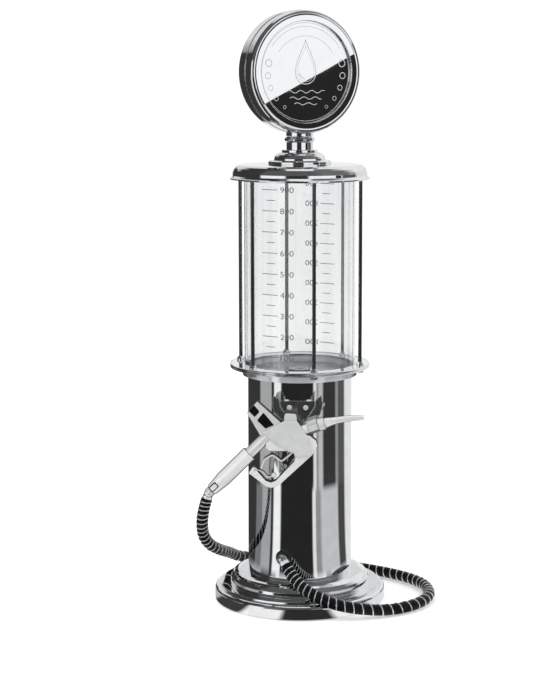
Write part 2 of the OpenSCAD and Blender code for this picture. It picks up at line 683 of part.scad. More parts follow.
// Column
column_bore = column_d - 2 * column_wall;
module column_foot_ring() color(steel) difference() {
    translate([0, 0, tier_z]) tube(column_bore - 2 * running_fit, column_bore - 2 * foot_ring_t, foot_ring_h);
    at_column_screws() translate([0, 0, tier_z - cut])
        cylinder(h = cut + column_screw_l + running_fit, d = column_screw_d + 2 * running_fit);
}
module column_screws() color(steel) at_column_screws() translate([0, 0, tier_z - base_wall])
    screw(2 * column_screw_d, column_screw_d / 2, column_screw_d, base_wall + column_screw_l);
module column_tube() color(chrome) difference() {
    translate([0, 0, tier_z]) tube(column_d, column_bore, column_z - tier_z);
    translate([0, 0, inlet_z]) rotate([90, 0, 0]) cylinder(h = column_d, d = elbow_d + 2 * running_fit);
    at_holder_screws(0) cylinder(h = column_d / 2, d = holder_screw_d + 2 * running_fit);
}
module column_collar() color(chrome) difference() {
    union() {
        translate([0, 0, column_z]) cylinder(h = collar_h, d = collar_d);
        translate([0, 0, column_z - spigot_l])
            tube(column_bore - 2 * running_fit, column_bore - 2 * spigot_t, spigot_l + web_t);
    }
    translate([0, 0, floor_z]) cylinder(h = collar_h, d = tank_d + 2 * running_fit);
    translate([0, 0, column_z - cut]) cylinder(h = web_t + 2 * cut, d = outlet_d + 2 * running_fit);
}

// Flange and rods
bead_r = flange_d / 2 - bead_d / 2;
module gallery_flange() color(chrome) difference() {
    union() {
        translate([0, 0, flange_z]) cylinder(h = flange_t, d = 2 * bead_r);
        for (k = [0, 1]) translate([0, 0, flange_z - bead_drop + bead_d / 2 + k * bead_d])
            rotate_extrude() translate([bead_r, 0]) circle(d = bead_d);
    }
    translate([0, 0, flange_z - cut]) cylinder(h = flange_t + 2 * cut, d = tank_d + 2 * running_fit);
    at_rods() translate([0, 0, flange_z - cut]) cylinder(h = flange_t + 2 * cut, d = rod_d + 2 * running_fit);
}
module at_rods() round_about(rod_count, rod_circle_d, 180 / rod_count) children();
rod_low = flange_z - rod_nut_h * 3 / 4;
rod_hold = top_ring_t * 3 / 4;
module tie_rods() color(chrome) at_rods() translate([0, 0, rod_low])
    cylinder(h = ring_z + rod_hold - rod_low, d = rod_d);
module rod_feet() color(chrome) at_rods() translate([0, 0, flange_top]) difference() {
    union() {
        cylinder(h = rod_foot_h / 2, d = rod_foot_d);
        translate([0, 0, rod_foot_h / 2])
            cylinder(h = rod_foot_h / 2, d1 = rod_foot_d, d2 = (rod_foot_d + 2 * rod_d) / 3);
    }
    translate([0, 0, -cut]) cylinder(h = rod_foot_h + 2 * cut, d = rod_d + 2 * running_fit);
}
module rod_nuts() color(steel) at_rods() translate([0, 0, flange_z - rod_nut_h]) difference() {
    hex(rod_nut_af, rod_nut_h);
    translate([0, 0, rod_nut_h / 4 - running_fit])
        cylinder(h = rod_nut_h, d = rod_d + 2 * running_fit);
}

// Tank
tank_bore = tank_d - 2 * tank_wall;
module tank_cylinder() color(clear) translate([0, 0, tank_z]) tube(tank_d, tank_bore, tank_h);
module tank_floor() color(steel) translate([0, 0, floor_z])
    tube(tank_bore - 4 * running_fit, outlet_d + 2 * running_fit, floor_t);
module lower_gasket() color(rubber) translate([0, 0, floor_z])
    tube(tank_d, tank_bore, gasket_t);
module upper_gasket() color(rubber) translate([0, 0, tank_top]) tube(tank_d, tank_bore, gasket_t);
module tank_top_ring() color(chrome) difference() {
    translate([0, 0, ring_z]) tube(top_ring_d, tank_bore, top_ring_t);
    translate([0, 0, ring_z - cut]) cylinder(h = cut + ring_seat, d = tank_d + 2 * running_fit);
    at_rods() translate([0, 0, ring_z - cut])
        cylinder(h = cut + rod_hold + running_fit, d = rod_d + 2 * running_fit);
}

// Outlet and inner tube
module outlet_fitting() color(brass) difference() {
    union() {
        translate([0, 0, floor_z + floor_t]) cylinder(h = outlet_flange_t, d = outlet_flange_d);
        translate([0, 0, column_z - outlet_l]) cylinder(h = outlet_l + web_t + floor_t, d = outlet_d);
        translate([0, 0, column_z - outlet_l - barb_l]) cylinder(h = barb_l, d = barb_d);
    }
    translate([0, 0, column_z - outlet_l - barb_l - cut])
        cylinder(h = barb_l + outlet_l + web_t + floor_t + outlet_flange_t + 2 * cut, d = flow_d);
}
module outlet_nut() color(brass) translate([0, 0, column_z - outlet_nut_h]) difference() {
    hex(outlet_nut_af, outlet_nut_h);
    translate([0, 0, -cut]) cylinder(h = outlet_nut_h + 2 * cut, d = outlet_d + 2 * running_fit);
}
stub_y = column_bore / 2 - barb_d;
inner_route = [for (s = inner_shares) [0, -s.x * stub_y, mix(inlet_z, column_z - outlet_l, s.y)]];
module inner_tube() color(silicone) {
    w = walk(inner_route);
    tables = [for (k = [0:2]) axis_table(w, k)];
    path = [for (i = [0:inner_rings]) spot(tables, w[route_steps][0] * i / inner_rings)];
    swept(path, [for (i = path) inner_tube_d / 2], tube_sides, inner_tube_bore / 2);
}
module tube_clamps() color(steel) {
    translate([0, 0, inner_route[0].z - 2 * clamp_w]) tube(clamp_d, inner_tube_d + 2 * running_fit, clamp_w);
    translate([0, inner_route[len(inner_route) - 1].y + 2 * clamp_w, inlet_z]) rotate([90, 0, 0])
        tube(clamp_d, inner_tube_d + 2 * running_fit, clamp_w);
}
module at_elbow() translate([0, -ball_y, inlet_z])
    rotate([0, elbow_tilt, elbow_swing]) children();
ball_y = column_d / 2 + elbow_reach;
ferrule_end = ferrule_l + elbow_ball_d / 2 - ferrule_sink;
module from_inlet(y) translate([0, -y, inlet_z]) rotate([90, 0, 0]) children();
module inlet_grommet() color(rubber) difference() {
    union() {
        from_inlet(0) cylinder(h = column_d / 2 + grommet_h * 2 / 3, d = grommet_d);
        from_inlet(column_d / 2 + grommet_h * 2 / 3)
            cylinder(h = grommet_h / 3, d1 = grommet_d, d2 = grommet_d - grommet_h);
    }
    from_inlet(0) cylinder(h = column_d, d = elbow_d + 2 * running_fit);
    translate([0, 0, inlet_z - grommet_d]) cylinder(h = 2 * grommet_d, d = column_d);
    at_elbow() {
        sphere(d = elbow_ball_d + 2 * running_fit);
        cylinder(h = ferrule_end, d = ferrule_d + 2 * running_fit);
    }
}
module inlet_elbow() color(chrome) difference() {
    union() {
        from_inlet(stub_y) cylinder(h = ball_y - stub_y, d = elbow_d);
        from_inlet(stub_y - barb_l) cylinder(h = barb_l, d = barb_d);
        at_elbow() {
            sphere(d = elbow_ball_d);
            cylinder(h = ferrule_end, d = elbow_d);
        }
    }
    from_inlet(stub_y - barb_l - cut) cylinder(h = cut + barb_l + ball_y - stub_y, d = flow_d);
    at_elbow() {
        sphere(d = elbow_swell * flow_d);
        cylinder(h = ferrule_end, d = flow_d);
        translate([0, 0, ferrule_end - ferrule_l]) cylinder(h = ferrule_l + cut, d = ferrule_d);
    }
}
module lower_ferrule() color(chrome) at_elbow() translate([0, 0, ferrule_end - ferrule_l])
    tube(ferrule_d, flow_d, ferrule_l);

// Hose
module hose_tube() color(rubber) {
    w = walk(hose_route);
    tables = [for (k = [0:2]) axis_table(w, k)];
    path = [for (i = [0:tube_rings]) spot(tables, w[route_steps][0] * i / tube_rings)];
    echo(hose_length_mm = w[route_steps][0]);
    swept(path, [for (i = path) hose_d / 2], tube_sides);
}
module hose_spring() color(chrome) {
    w = walk(hose_route);
    length = w[route_steps][0];
    tables = [for (k = [0:2]) axis_table(w, k)];
    knots = [for (k = pitch_table) [k[0] * length, 1 / k[1]]];
    curls = turns_at(length - 2 * wire_d, knots);
    count = floor(curls * curl_rings);
    // Length along the hose at each ring of the wire, found from its turns
    turn_table = [for (e = w) [turns_at(e[0], knots), e[0]]];
    run = [for (i = [0:count]) wire_d + lookup(i / curl_rings, turn_table)];
    centre = [for (s = run) spot(tables, s)];
    fr = frames(centre);
    coil_r = (wound_d - wire_d) / 2;
    wire = [for (i = [0:count]) let (a = 360 * (i % curl_rings) / curl_rings)
        centre[i] + coil_r * (cos(a) * fr[i][1] + sin(a) * cross(fr[i][0], fr[i][1]))];
    least = min([for (i = [0:count - curl_rings]) for (j = [curl_rings - 3:min(curl_rings + 3, count - i)])
        norm(wire[i + j] - wire[i])]) - wire_d;
    echo(hose_curls = curls, least_gap_of_the_wire_to_itself_mm = least);
    swept(wire, [for (i = wire) wire_d / 2], wire_sides);
}

// Holder
module at_seat() at_nozzle() translate([seat_at.x, nozzle_reach, seat_at.y]) children();
module at_holder_screws(w) at_seat() for (k = [-1, 1])
    translate([k * holder_screws_w / 2, -w, holder_screws_h]) rotate([90, 0, 0]) children();
notch_r = stud_d / 2 + part_gap;
module fork_outline() difference() {
    polygon(concat([for (s = prong_shares) [s.x * holder_w, s.y * holder_h]],
        [for (i = [len(prong_shares) - 2:-1:0]) let (s = prong_shares[i]) [-s.x * holder_w, s.y * holder_h]],
        [[0, -notch_r]]));
    circle(r = notch_r);
    translate([-notch_r, 0]) square([2 * notch_r, holder_h]);
}
module holder_bracket() color(chrome) at_seat() difference() {
    union() {
        translate([-holder_plate_w / 2, -plate_front, -holder_h / 6])
            cube([holder_plate_w, plate_front - column_d / 2 + holder_pad, holder_plate_h + holder_h / 6]);
        for (x = [-holder_plate_w / 2, holder_plate_w / 2 - holder_t])
            translate([x, -fork_back, -holder_h / 12]) cube([holder_t, fork_gap, holder_plate_h * 3 / 4]);
        translate([0, -fork_back, 0]) rotate([90, 0, 0]) linear_extrude(holder_t) fork_outline();
    }
    translate([0, 0, -holder_h]) cylinder(h = 3 * holder_h, d = column_d);
    for (k = [-1, 1]) translate([k * holder_screws_w / 2, 0, holder_screws_h]) rotate([90, 0, 0])
        cylinder(h = column_d, d = holder_screw_d + 2 * running_fit);
}
module holder_screws() color(steel) at_holder_screws(plate_front) {
    translate([0, 0, -holder_screw_l]) cylinder(h = holder_screw_l, d = holder_screw_d);
    intersection() {
        sphere(d = holder_screw_head_d);
        cylinder(h = holder_screw_head_h, d = holder_screw_head_d + cut);
    }
}

// Lid
module lid_shell() color(chrome) translate([0, 0, lid_z]) difference() {
    spin(concat([[0, 0], [lid_d / 2, 0], [lid_d / 2, lip_h * 2 / 3], [lid_d / 2 - lip_h / 2, lip_h]],
        [for (a = [0:15:75]) [lid_flat_d / 2 + (shell_d - lid_flat_d) / 2 * cos(a),
            lip_h * 2 + (lid_rise - lip_h * 2) * sin(a)]],
        [[lid_flat_d / 2, lid_rise], [finial_d / 2, lid_h], [0, lid_h]]));
    translate([0, 0, -cut]) cylinder(h = cut + lid_seat - lid_z, d = top_ring_d + 2 * part_gap);
    translate([0, 0, -cut]) cylinder(h = cut + lid_rise - 2 * lid_wall, d = lid_bore_d);
    translate([0, 0, -cut]) cylinder(h = cut + lid_h - lid_wall, d = lid_flat_d - 4 * lid_wall);
    cylinder(h = lid_h + cut, d = finial_spigot_d + 2 * running_fit);
}
module lid_gasket() color(rubber) translate([0, 0, ring_top + running_fit])
    tube(top_ring_d, lid_bore_d, lid_gasket_t);
stem_bore = sign_stem_d + 2 * running_fit;
module finial_base() color(chrome) difference() {
    union() {
        translate([0, 0, lid_top]) {
            cylinder(h = finial_h * 2 / 3, d = finial_d);
            translate([0, 0, finial_h * 2 / 3])
                cylinder(h = finial_h / 3, d1 = finial_d, d2 = finial_d - finial_h);
            translate([0, 0, finial_h]) spin(concat([[0, 0]], [for (a = [0:15:90])
                [dome_top_d / 2 + (dome_d - dome_top_d) / 2 * cos(a), dome_h * sin(a)]], [[0, dome_h]]));
        }
        translate([0, 0, lid_top - finial_spigot_l]) cylinder(h = finial_spigot_l, d = finial_spigot_d);
    }
    translate([0, 0, lid_top - finial_spigot_l - cut])
        cylinder(h = finial_spigot_l + finial_h + dome_h + 2 * cut, d = stem_bore);
}
module finial_nut() color(steel) translate([0, 0, lid_top - lid_wall - finial_nut_h]) difference() {
    hex(finial_nut_af, finial_nut_h);
    translate([0, 0, -cut]) cylinder(h = finial_nut_h + 2 * cut, d = finial_spigot_d + 2 * running_fit);
}

// Neck and sign
module sign_neck() color(chrome) translate([0, 0, finial_top]) difference() {
    union() {
        cylinder(h = neck_disc_h, d = neck_disc_d);
        cylinder(h = neck_disc_h + waist_h, d = waist_d);
        translate([0, 0, neck_disc_h + waist_h]) spin(concat([[0, 0]],
            arc([(neck_bead_d - neck_bead_h) / 2, neck_bead_h / 2], neck_bead_h / 2, -90, 90, 8),
            [[0, neck_bead_h]]));
    }
    translate([0, 0, -cut]) cylinder(h = neck_disc_h + waist_h + neck_bead_h + 2 * cut, d = stem_bore);
}
shell_out_d = sign_d - 2 * band_h;
module sign_socket() color(chrome) difference() {
    translate([0, 0, neck_top + part_gap]) cylinder(h = sign_d / 8, d = socket_d);
    at_sign() cylinder(h = 2 * sign_t, d = shell_out_d, center = true);
    at_sign() cylinder(h = band_w, d = sign_d, center = true);
    translate([0, 0, neck_top - cut]) cylinder(h = sign_d / 2, d = stem_bore);
}
stem_top = sign_z - shell_out_d / 2 + sign_wall + spacer_t;
stem_low = lid_top - finial_spigot_l - part_gap - stem_nut_h - part_gap;
module sign_stem() color(steel) translate([0, 0, stem_low])
    cylinder(h = stem_top - stem_low, d = sign_stem_d);
module stem_nut() color(steel) translate([0, 0, stem_low + part_gap]) difference() {
    hex(stem_nut_af, stem_nut_h);
    translate([0, 0, -cut]) cylinder(h = stem_nut_h + 2 * cut, d = stem_bore);
}
module sign_front_shell() color(chrome) at_sign() stem_hole() half_shell();
module sign_rear_shell() color(chrome) at_sign() stem_hole() rotate([180, 0, 0]) half_shell();
module half_shell() {
    r = shell_out_d / 2;
    h = sign_t / 2;
    back = h - face_depth;
    spin(concat([[r - sign_wall, band_w / 2], [r, band_w / 2]],
        arc([r - sign_round, h - sign_round], sign_round, 0, 90),
        [[r - rim_w + face_depth / 2, h - face_depth / 5], [r - rim_w, h - face_depth / 2],
        [r - rim_w, back], [r - 2 * sign_wall, back], [r - sign_wall, back - sign_wall]]));
}
module stem_hole() difference() {
    children();
    rotate([90, 0, 0]) cylinder(h = sign_d, d = stem_bore);
}
module sign_band() color(chrome) at_sign() stem_hole() translate([0, 0, -band_w / 2])
    tube(sign_d, shell_out_d - 2 * sign_wall, band_w);
face_z = sign_t / 2 - face_depth - face_t;
module sign_faces() color(mirror_tone) at_sign() for (k = [0, 1]) mirror([0, 0, k])
    translate([0, 0, face_z]) cylinder(h = face_t, d = shell_out_d - 4 * sign_wall - 2 * running_fit);
module sign_spacer() color(plastic) at_sign() stem_hole() difference() {
    translate([0, 0, -face_z]) tube(shell_out_d - 2 * sign_wall - 4 * running_fit,
        shell_out_d - 2 * sign_wall - 2 * spacer_t, 2 * face_z);
    for (k = [0, 1]) mirror([0, 0, k]) translate([0, 0, face_z - sign_wall])
        tube(sign_d, shell_out_d - 4 * sign_wall - 4 * running_fit, sign_wall + cut);
}

// Nozzle
seat_at = on_body(seat_shares);
neck_at = on_body(neck_shares);
valve_at = on_body(valve_shares);
pivot_at = on_body(pivot_shares);
latch_at = on_body(latch_pivot_shares);
outlet_at = on_body(outlet_shares);
module down_handle(s = 0) translate([neck_at.x, 0, neck_at.y]) rotate([0, 270 - handle_slope, 0])
    translate([0, 0, s]) children();
module valve_bores() translate([valve_at.x, 0, valve_at.y]) {
    translate([0, 0, -seat_t]) cylinder(h = chamber_l, d = chamber_d);
    translate([0, 0, -seat_t - gallery_l]) cylinder(h = gallery_l + cut / 2, d = seat_bore);
    translate([0, 0, -body_h]) cylinder(h = body_h, d = stem_d + 2 * running_fit);
}
outlet_low = valve_at + [0, -seat_t - gallery_l * 0.7];
outlet_way = outlet_at - outlet_low;
module nozzle_body() color(satin) at_nozzle() difference() {
    union() {
        slab(body_outline(body_shares), body_t);
        slab(body_outline(lobe_shares), lobe_t);
        slab(body_outline(housing_shares), housing_t);
        difference() {
            slab(body_outline(concat(guard_out_shares, guard_in_shares)), guard_t);
            crossways(latch_at, latch_eye_d + 4 * part_gap, latch_w + 2 * part_gap);
            down_handle() cylinder(h = neck_l + grip_l, d = grip_d + 2 * running_fit);
        }
        for (k = [-1, 1]) translate([0, k * (guard_t + latch_w + 2 * part_gap) / 4, 0])
            crossways(latch_at, latch_eye_d, (guard_t - latch_w) / 2 - part_gap);
        sloped(outlet_at, nut_slope) translate([0, 0, -boss_d]) cylinder(h = boss_d, d = boss_d);
    }
    slab(body_outline(slot_shares), trigger_w + 2 * part_gap);
    crossways(pivot_at, trigger_eye_d + 4 * part_gap, trigger_w + 2 * part_gap);
    crossways(pivot_at, trigger_pin_d + 2 * running_fit, body_t + 2 * cut);
    crossways(latch_at, latch_pin_d + 2 * running_fit, guard_t + 2 * cut);
    valve_bores();
    down_handle(-neck_socket) cylinder(h = neck_socket + cut, d = neck_d + 2 * running_fit);
    down_handle(-neck_socket) rotate([180, 0, 0]) cylinder(h = chamber_d, d = flow_d);
    sloped(outlet_low, atan2(outlet_way.y, outlet_way.x)) cylinder(h = norm(outlet_way), d = flow_d);
    sloped(outlet_at, nut_slope) translate([0, 0, -boss_d / 2])
        cylinder(h = boss_d, d = elbow_swell * flow_d);
    stud_hole();
}
module stud_hole() translate([seat_at.x, nozzle_t / 2 - stud_thread, seat_at.y])
    rotate([-90, 0, 0]) cylinder(h = stud_thread + cut, d = stud_d / 2 + 2 * running_fit);
module side_covers() color(satin) at_nozzle() difference() {
    for (k = [-1, 1]) translate([0, k * (body_t + cover_t) / 2, 0]) rotate([90, 0, 0])
        linear_extrude(cover_t, center = true) offset(delta = -cover_inset)
            polygon(body_outline(body_shares));
    stud_hole();
}
module body_cap() color(chrome) at_nozzle() difference() {
    slab(body_outline(cap_shares), cap_t);
    slab(body_outline(body_shares), nozzle_t);
}
module hook_frame() color(chrome) at_nozzle() difference() {
    slab(body_outline(hook_shares), hook_t);
    translate([0, -hook_t / 2 - cut / 2 + hook_recess / 2, 0]) {
        slab(body_outline(upper_recess_shares), hook_recess + cut);
        slab(body_outline(lower_recess_shares), hook_recess + cut);
    }
    slab(body_outline(body_shares), nozzle_t);
    slab(body_outline(housing_shares), nozzle_t);
    down_handle(-neck_socket) cylinder(h = neck_socket + neck_l, d = neck_d + 2 * running_fit);
}
module hanging_stud() color(steel) at_nozzle()
    translate([seat_at.x, nozzle_t / 2, seat_at.y]) rotate([-90, 0, 0]) {
        translate([0, 0, -stud_thread]) cylinder(h = stud_thread, d = stud_d / 2);
        cylinder(h = stud_reach + stud_head_t, d = stud_d);
        translate([0, 0, stud_reach]) cylinder(h = stud_head_t, d = stud_head_d);
    }
stud_reach = nozzle_reach - nozzle_t / 2 - fork_back + (fork_gap - stud_head_t) / 2;
module handle_neck() color(chrome) at_nozzle() difference() {
    union() {
        down_handle(-neck_socket) cylinder(h = neck_socket + neck_l, d = neck_d);
        down_handle(neck_l) cylinder(h = grip_l, d = core_d);
    }
    down_handle(-neck_socket - cut) cylinder(h = neck_socket + neck_l + grip_l + 2 * cut, d = flow_d);
}
module grip_sleeve() color(satin) at_nozzle() down_handle(neck_l) difference() {
    spin(concat([[0, 0]], arc([grip_d / 2 - grip_round, grip_round], grip_round, -90, 0),
        [[grip_d / 2, grip_l - grip_taper_l]],
        arc([grip_end_d / 2 - grip_round, grip_l - grip_round], grip_round, 0, 90), [[0, grip_l]]));
    translate([0, 0, -cut]) cylinder(h = grip_l + 2 * cut, d = core_d + 2 * running_fit);
}
swivel_s = neck_l + grip_l + swivel_l;
module at_swivel() down_handle(swivel_s) rotate([0, handle_slope - 90 + ferrule_tilt, 0]) children();
module swivel_nut() color(chrome) at_nozzle() difference() {
    down_handle(neck_l + grip_l) cylinder(h = swivel_l, d = swivel_d);
    at_swivel() sphere(d = swivel_ball_d + 2 * running_fit);
}
module upper_ferrule() color(chrome) at_nozzle() at_swivel() difference() {
    union() {
        sphere(d = swivel_ball_d);
        translate([0, 0, ferrule_reach / 2]) cylinder(h = ferrule_reach / 2, d = swivel_ferrule_d);
    }
    cylinder(h = ferrule_reach + cut, d = flow_d);
}

// Spout
nut_end = outlet_at + spout_nut_l * [cos(nut_slope), sin(nut_slope)];
ring_end = nut_end + spout_ring_l * [cos(ring_slope), sin(ring_slope)];
module spout_nut() color(chrome) at_nozzle() sloped(outlet_at, nut_slope) difference() {
    hex(spout_nut_af, spout_nut_l);
    translate([0, 0, -cut]) cylinder(h = spout_nut_l + 2 * cut, d = flow_d);
}
module spout_ring() color(chrome) at_nozzle() difference() {
    sloped(nut_end, ring_slope) cylinder(h = spout_ring_l, d = spout_ring_d);
    sloped(nut_end, ring_slope) translate([0, 0, -cut]) cylinder(h = spout_ring_l + 2 * cut, d = flow_d);
    sloped(outlet_at, nut_slope) cylinder(h = spout_nut_l, d = 2 * spout_ring_d);
}
module spout() color(chrome) at_nozzle() {
    step = spout_l / spout_rings;
    run = [for (i = 0, p = ring_end; i <= spout_rings; i = i + 1,
        a = mix(ring_slope, spout_tip_slope, (i - 1) / spout_rings), p = p + step * [cos(a), sin(a)])
        [p.x, 0, p.y]];
    radii = [for (i = [0:spout_rings]) let (t = 3 * i / spout_rings)
        (t < 1 ? mix(spout_root_d, spout_mid_d, sin(90 * t))
            : mix(spout_mid_d, spout_tip_d, (t - 1) / 2)) / 2];
    swept(run, radii, spout_sides, spout_bore / 2);
}

// Valve, trigger and latch
module valve_seat() color(rubber) at_nozzle() translate([valve_at.x, 0, valve_at.y - seat_t])
    tube(chamber_d - 2 * running_fit, seat_bore, seat_t);
module valve_stem() color(steel) at_nozzle() translate([valve_at.x, 0, valve_at.y]) {
    translate([0, 0, running_fit]) cylinder(h = valve_head_t, d = valve_head_d);
    translate([0, 0, -stem_l]) cylinder(h = stem_l + valve_head_t, d = stem_d);
}
lever = body_outline(lever_shares);
tongue_at = on_body(tongue_shares);
lever_share = (valve_at.x - lever[2].x) / (lever[3].x - lever[2].x);
stem_l = valve_at.y - mix(lever[2].y, lever[3].y, lever_share) - trigger_t / 2 - stem_d / 2 - part_gap;
module valve_spring() color(steel) at_nozzle() {
    low = valve_at.y + running_fit + valve_head_t + valve_wire / 2 + running_fit;
    high = valve_at.y - seat_t + chamber_l - valve_wire / 2 - running_fit;
    n = valve_curls * curl_rings;
    path = [for (i = [0:n]) let (a = 360 * i / curl_rings) [valve_at.x + valve_spring_d / 2 * cos(a),
        valve_spring_d / 2 * sin(a), mix(low, high, i / n)]];
    swept(path, [for (i = path) valve_wire / 2], wire_sides);
}
module trigger_pin() color(steel) at_nozzle() crossways(pivot_at, trigger_pin_d, body_t);
module latch_pin() color(steel) at_nozzle() crossways(latch_at, latch_pin_d, guard_t);
module trigger() color(chrome) at_nozzle() difference() {
    union() {
        strip(lever, trigger_t, trigger_w);
        crossways(pivot_at, trigger_eye_d, trigger_w + 2 * running_fit);
        translate([tongue_at.x - tongue_t / 2, -tongue_w / 2, tongue_at.y - tongue_l])
            cube([tongue_t, tongue_w, tongue_l]);
    }
    crossways(pivot_at, trigger_pin_d + 2 * running_fit, trigger_w + 2 * cut);
}
latch = body_outline(latch_shares);
module hold_open_latch() color(chrome) at_nozzle() difference() {
    union() {
        strip(latch, latch_t, latch_w);
        crossways(latch_at, latch_eye_d, latch_w + 2 * running_fit);
        translate([latch[3].x, 0, latch[3].y]) sphere(d = knob_d);
    }
    crossways(latch_at, latch_pin_d + 2 * running_fit, latch_w + 2 * cut);
}

base_shell();
base_plate();
rubber_ring();
base_plate_screws();
column_foot_ring();
column_screws();
column_tube();
column_collar();
gallery_flange();
tie_rods();
rod_feet();
rod_nuts();
tank_cylinder();
tank_floor();
lower_gasket();
upper_gasket();
tank_top_ring();
outlet_fitting();
outlet_nut();
inner_tube();
tube_clamps();
inlet_grommet();
inlet_elbow();
lower_ferrule();
hose_tube();
hose_spring();
holder_bracket();
holder_screws();
lid_shell();
lid_gasket();
finial_base();
finial_nut();
sign_neck();
sign_socket();
sign_stem();
stem_nut();
sign_front_shell();
sign_rear_shell();
sign_band();
sign_faces();
sign_spacer();
nozzle_body();
side_covers();
body_cap();
hook_frame();
hanging_stud();
handle_neck();
grip_sleeve();
swivel_nut();
upper_ferrule();
spout_nut();
spout_ring();
spout();
valve_seat();
valve_spring();
trigger_pin();
latch_pin();
trigger();
valve_stem();
hold_open_latch();
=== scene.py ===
from math import cos, pi, radians, sin

import bmesh
import bpy
from mathutils import Matrix, Vector


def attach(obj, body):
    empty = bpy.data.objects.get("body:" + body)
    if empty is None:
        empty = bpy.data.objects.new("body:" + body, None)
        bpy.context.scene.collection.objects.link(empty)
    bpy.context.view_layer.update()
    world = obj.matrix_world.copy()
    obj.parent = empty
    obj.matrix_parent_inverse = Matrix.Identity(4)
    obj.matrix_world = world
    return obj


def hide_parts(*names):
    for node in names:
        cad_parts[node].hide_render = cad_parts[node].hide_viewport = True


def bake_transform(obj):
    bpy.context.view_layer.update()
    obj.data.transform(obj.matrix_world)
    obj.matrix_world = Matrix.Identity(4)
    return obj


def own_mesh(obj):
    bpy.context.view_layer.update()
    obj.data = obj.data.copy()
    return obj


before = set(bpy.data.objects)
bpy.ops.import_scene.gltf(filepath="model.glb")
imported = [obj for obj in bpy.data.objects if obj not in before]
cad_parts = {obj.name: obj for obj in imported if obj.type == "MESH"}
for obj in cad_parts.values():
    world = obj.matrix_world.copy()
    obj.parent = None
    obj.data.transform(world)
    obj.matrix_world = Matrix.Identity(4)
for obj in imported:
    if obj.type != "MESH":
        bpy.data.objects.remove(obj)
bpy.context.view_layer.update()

mm = 0.001
print("frame loaded:", len(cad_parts), "nodes")


def linear(hexColour):
    parts = [int(hexColour[i:i + 2], 16) / 255 for i in (1, 3, 5)]
    return tuple(c / 12.92 if c <= 0.04045 else ((c + 0.055) / 1.055) ** 2.4 for c in parts) + (1.0,)


# A node with its settings; an input given as a node or a socket is linked
def addNode(tree, kind, inputs=None, **settings):
    node = tree.nodes.new(kind)
    for name, value in settings.items():
        setattr(node, name, value)
    for name, value in (inputs or {}).items():
        if isinstance(value, bpy.types.Node):
            value = value.outputs[0]
        if isinstance(value, bpy.types.NodeSocket):
            tree.links.new(value, node.inputs[name])
        else:
            node.inputs[name].default_value = value
    return node


def putObject(name, data):
    item = bpy.data.objects.new(name, data)
    bpy.context.collection.objects.link(item)
    return item


def meshPiece(name, points, faces, material, smooth=True):
    mesh = bpy.data.meshes.new(name)
    mesh.from_pydata([tuple(p) for p in points], [], faces)
    mesh.polygons.foreach_set("use_smooth", [smooth] * len(mesh.polygons))
    mesh.materials.append(material)
    return putObject(name, mesh)


# A closed skin through loops of points, the last loop joined to the first
def skinLoops(name, loops, material):
    n, m = len(loops), len(loops[0])
    faces = [(i * m + j, i * m + (j + 1) % m, (i + 1) % n * m + (j + 1) % m, (i + 1) % n * m + j)
             for i in range(n) for j in range(m)]
    piece = meshPiece(name, [p for loop in loops for p in loop], faces, material)
    work = bmesh.new()
    work.from_mesh(piece.data)
    bmesh.ops.recalc_face_normals(work, faces=work.faces)
    work.to_mesh(piece.data)
    work.free()
    return piece


# The plain mesh that a source object makes; the source is removed
def plainMesh(source):
    layer = bpy.context.evaluated_depsgraph_get()
    mesh = bpy.data.meshes.new_from_object(source.evaluated_get(layer), depsgraph=layer)
    bpy.data.objects.remove(source)
    return mesh


# What a Geometry Nodes tree makes along a line of points, as a plain mesh; sizes are its inputs by name
def grow(name, line, tree, sizes):
    data = bpy.data.meshes.new(name + "Line")
    data.from_pydata([tuple(p) for p in line], [(i, i + 1) for i in range(len(line) - 1)], [])
    source = putObject(name + "Line", data)
    modifier = source.modifiers.new(name, "NODES")
    modifier.node_group = tree
    for item in tree.interface.items_tree:
        if item.in_out == "INPUT" and item.name in sizes:
            modifier[item.identifier] = sizes[item.name]
    mesh = plainMesh(source)
    mesh.name = name
    return putObject(name, mesh)


def startTree(name, sizes, counts):
    tree = bpy.data.node_groups.new(name, "GeometryNodeTree")
    tree.interface.new_socket("Line", in_out="INPUT", socket_type="NodeSocketGeometry")
    for kind, names in (("Float", sizes), ("Int", counts)):
        for inputName in names:
            tree.interface.new_socket(inputName, in_out="INPUT", socket_type="NodeSocket" + kind)
    tree.interface.new_socket("Piece", in_out="OUTPUT", socket_type="NodeSocketGeometry")
    return tree, addNode(tree, "NodeGroupInput").outputs


# A round wall along a line
def roundWall(tree, line, diameter, sides):
    path = addNode(tree, "GeometryNodeMeshToCurve", {"Mesh": line})
    radius = addNode(tree, "ShaderNodeMath", {0: diameter, 1: 0.5}, operation="MULTIPLY")
    circle = addNode(tree, "GeometryNodeCurvePrimitiveCircle", {"Resolution": sides, "Radius": radius})
    return addNode(tree, "GeometryNodeCurveToMesh", {
        "Curve": path, "Profile Curve": circle, "Fill Caps": True})


# A row of points, to be moved to their seats, and their shares of the way to the last
def pointRow(tree, count):
    row = addNode(tree, "GeometryNodeMeshLine", {"Count": count, "Offset": (mm, 0, 0)})
    last = addNode(tree, "ShaderNodeMath", {0: count, 1: 1.0}, operation="SUBTRACT")
    index = addNode(tree, "GeometryNodeInputIndex")
    return row, addNode(tree, "ShaderNodeMath", {0: index, 1: last}, operation="DIVIDE")


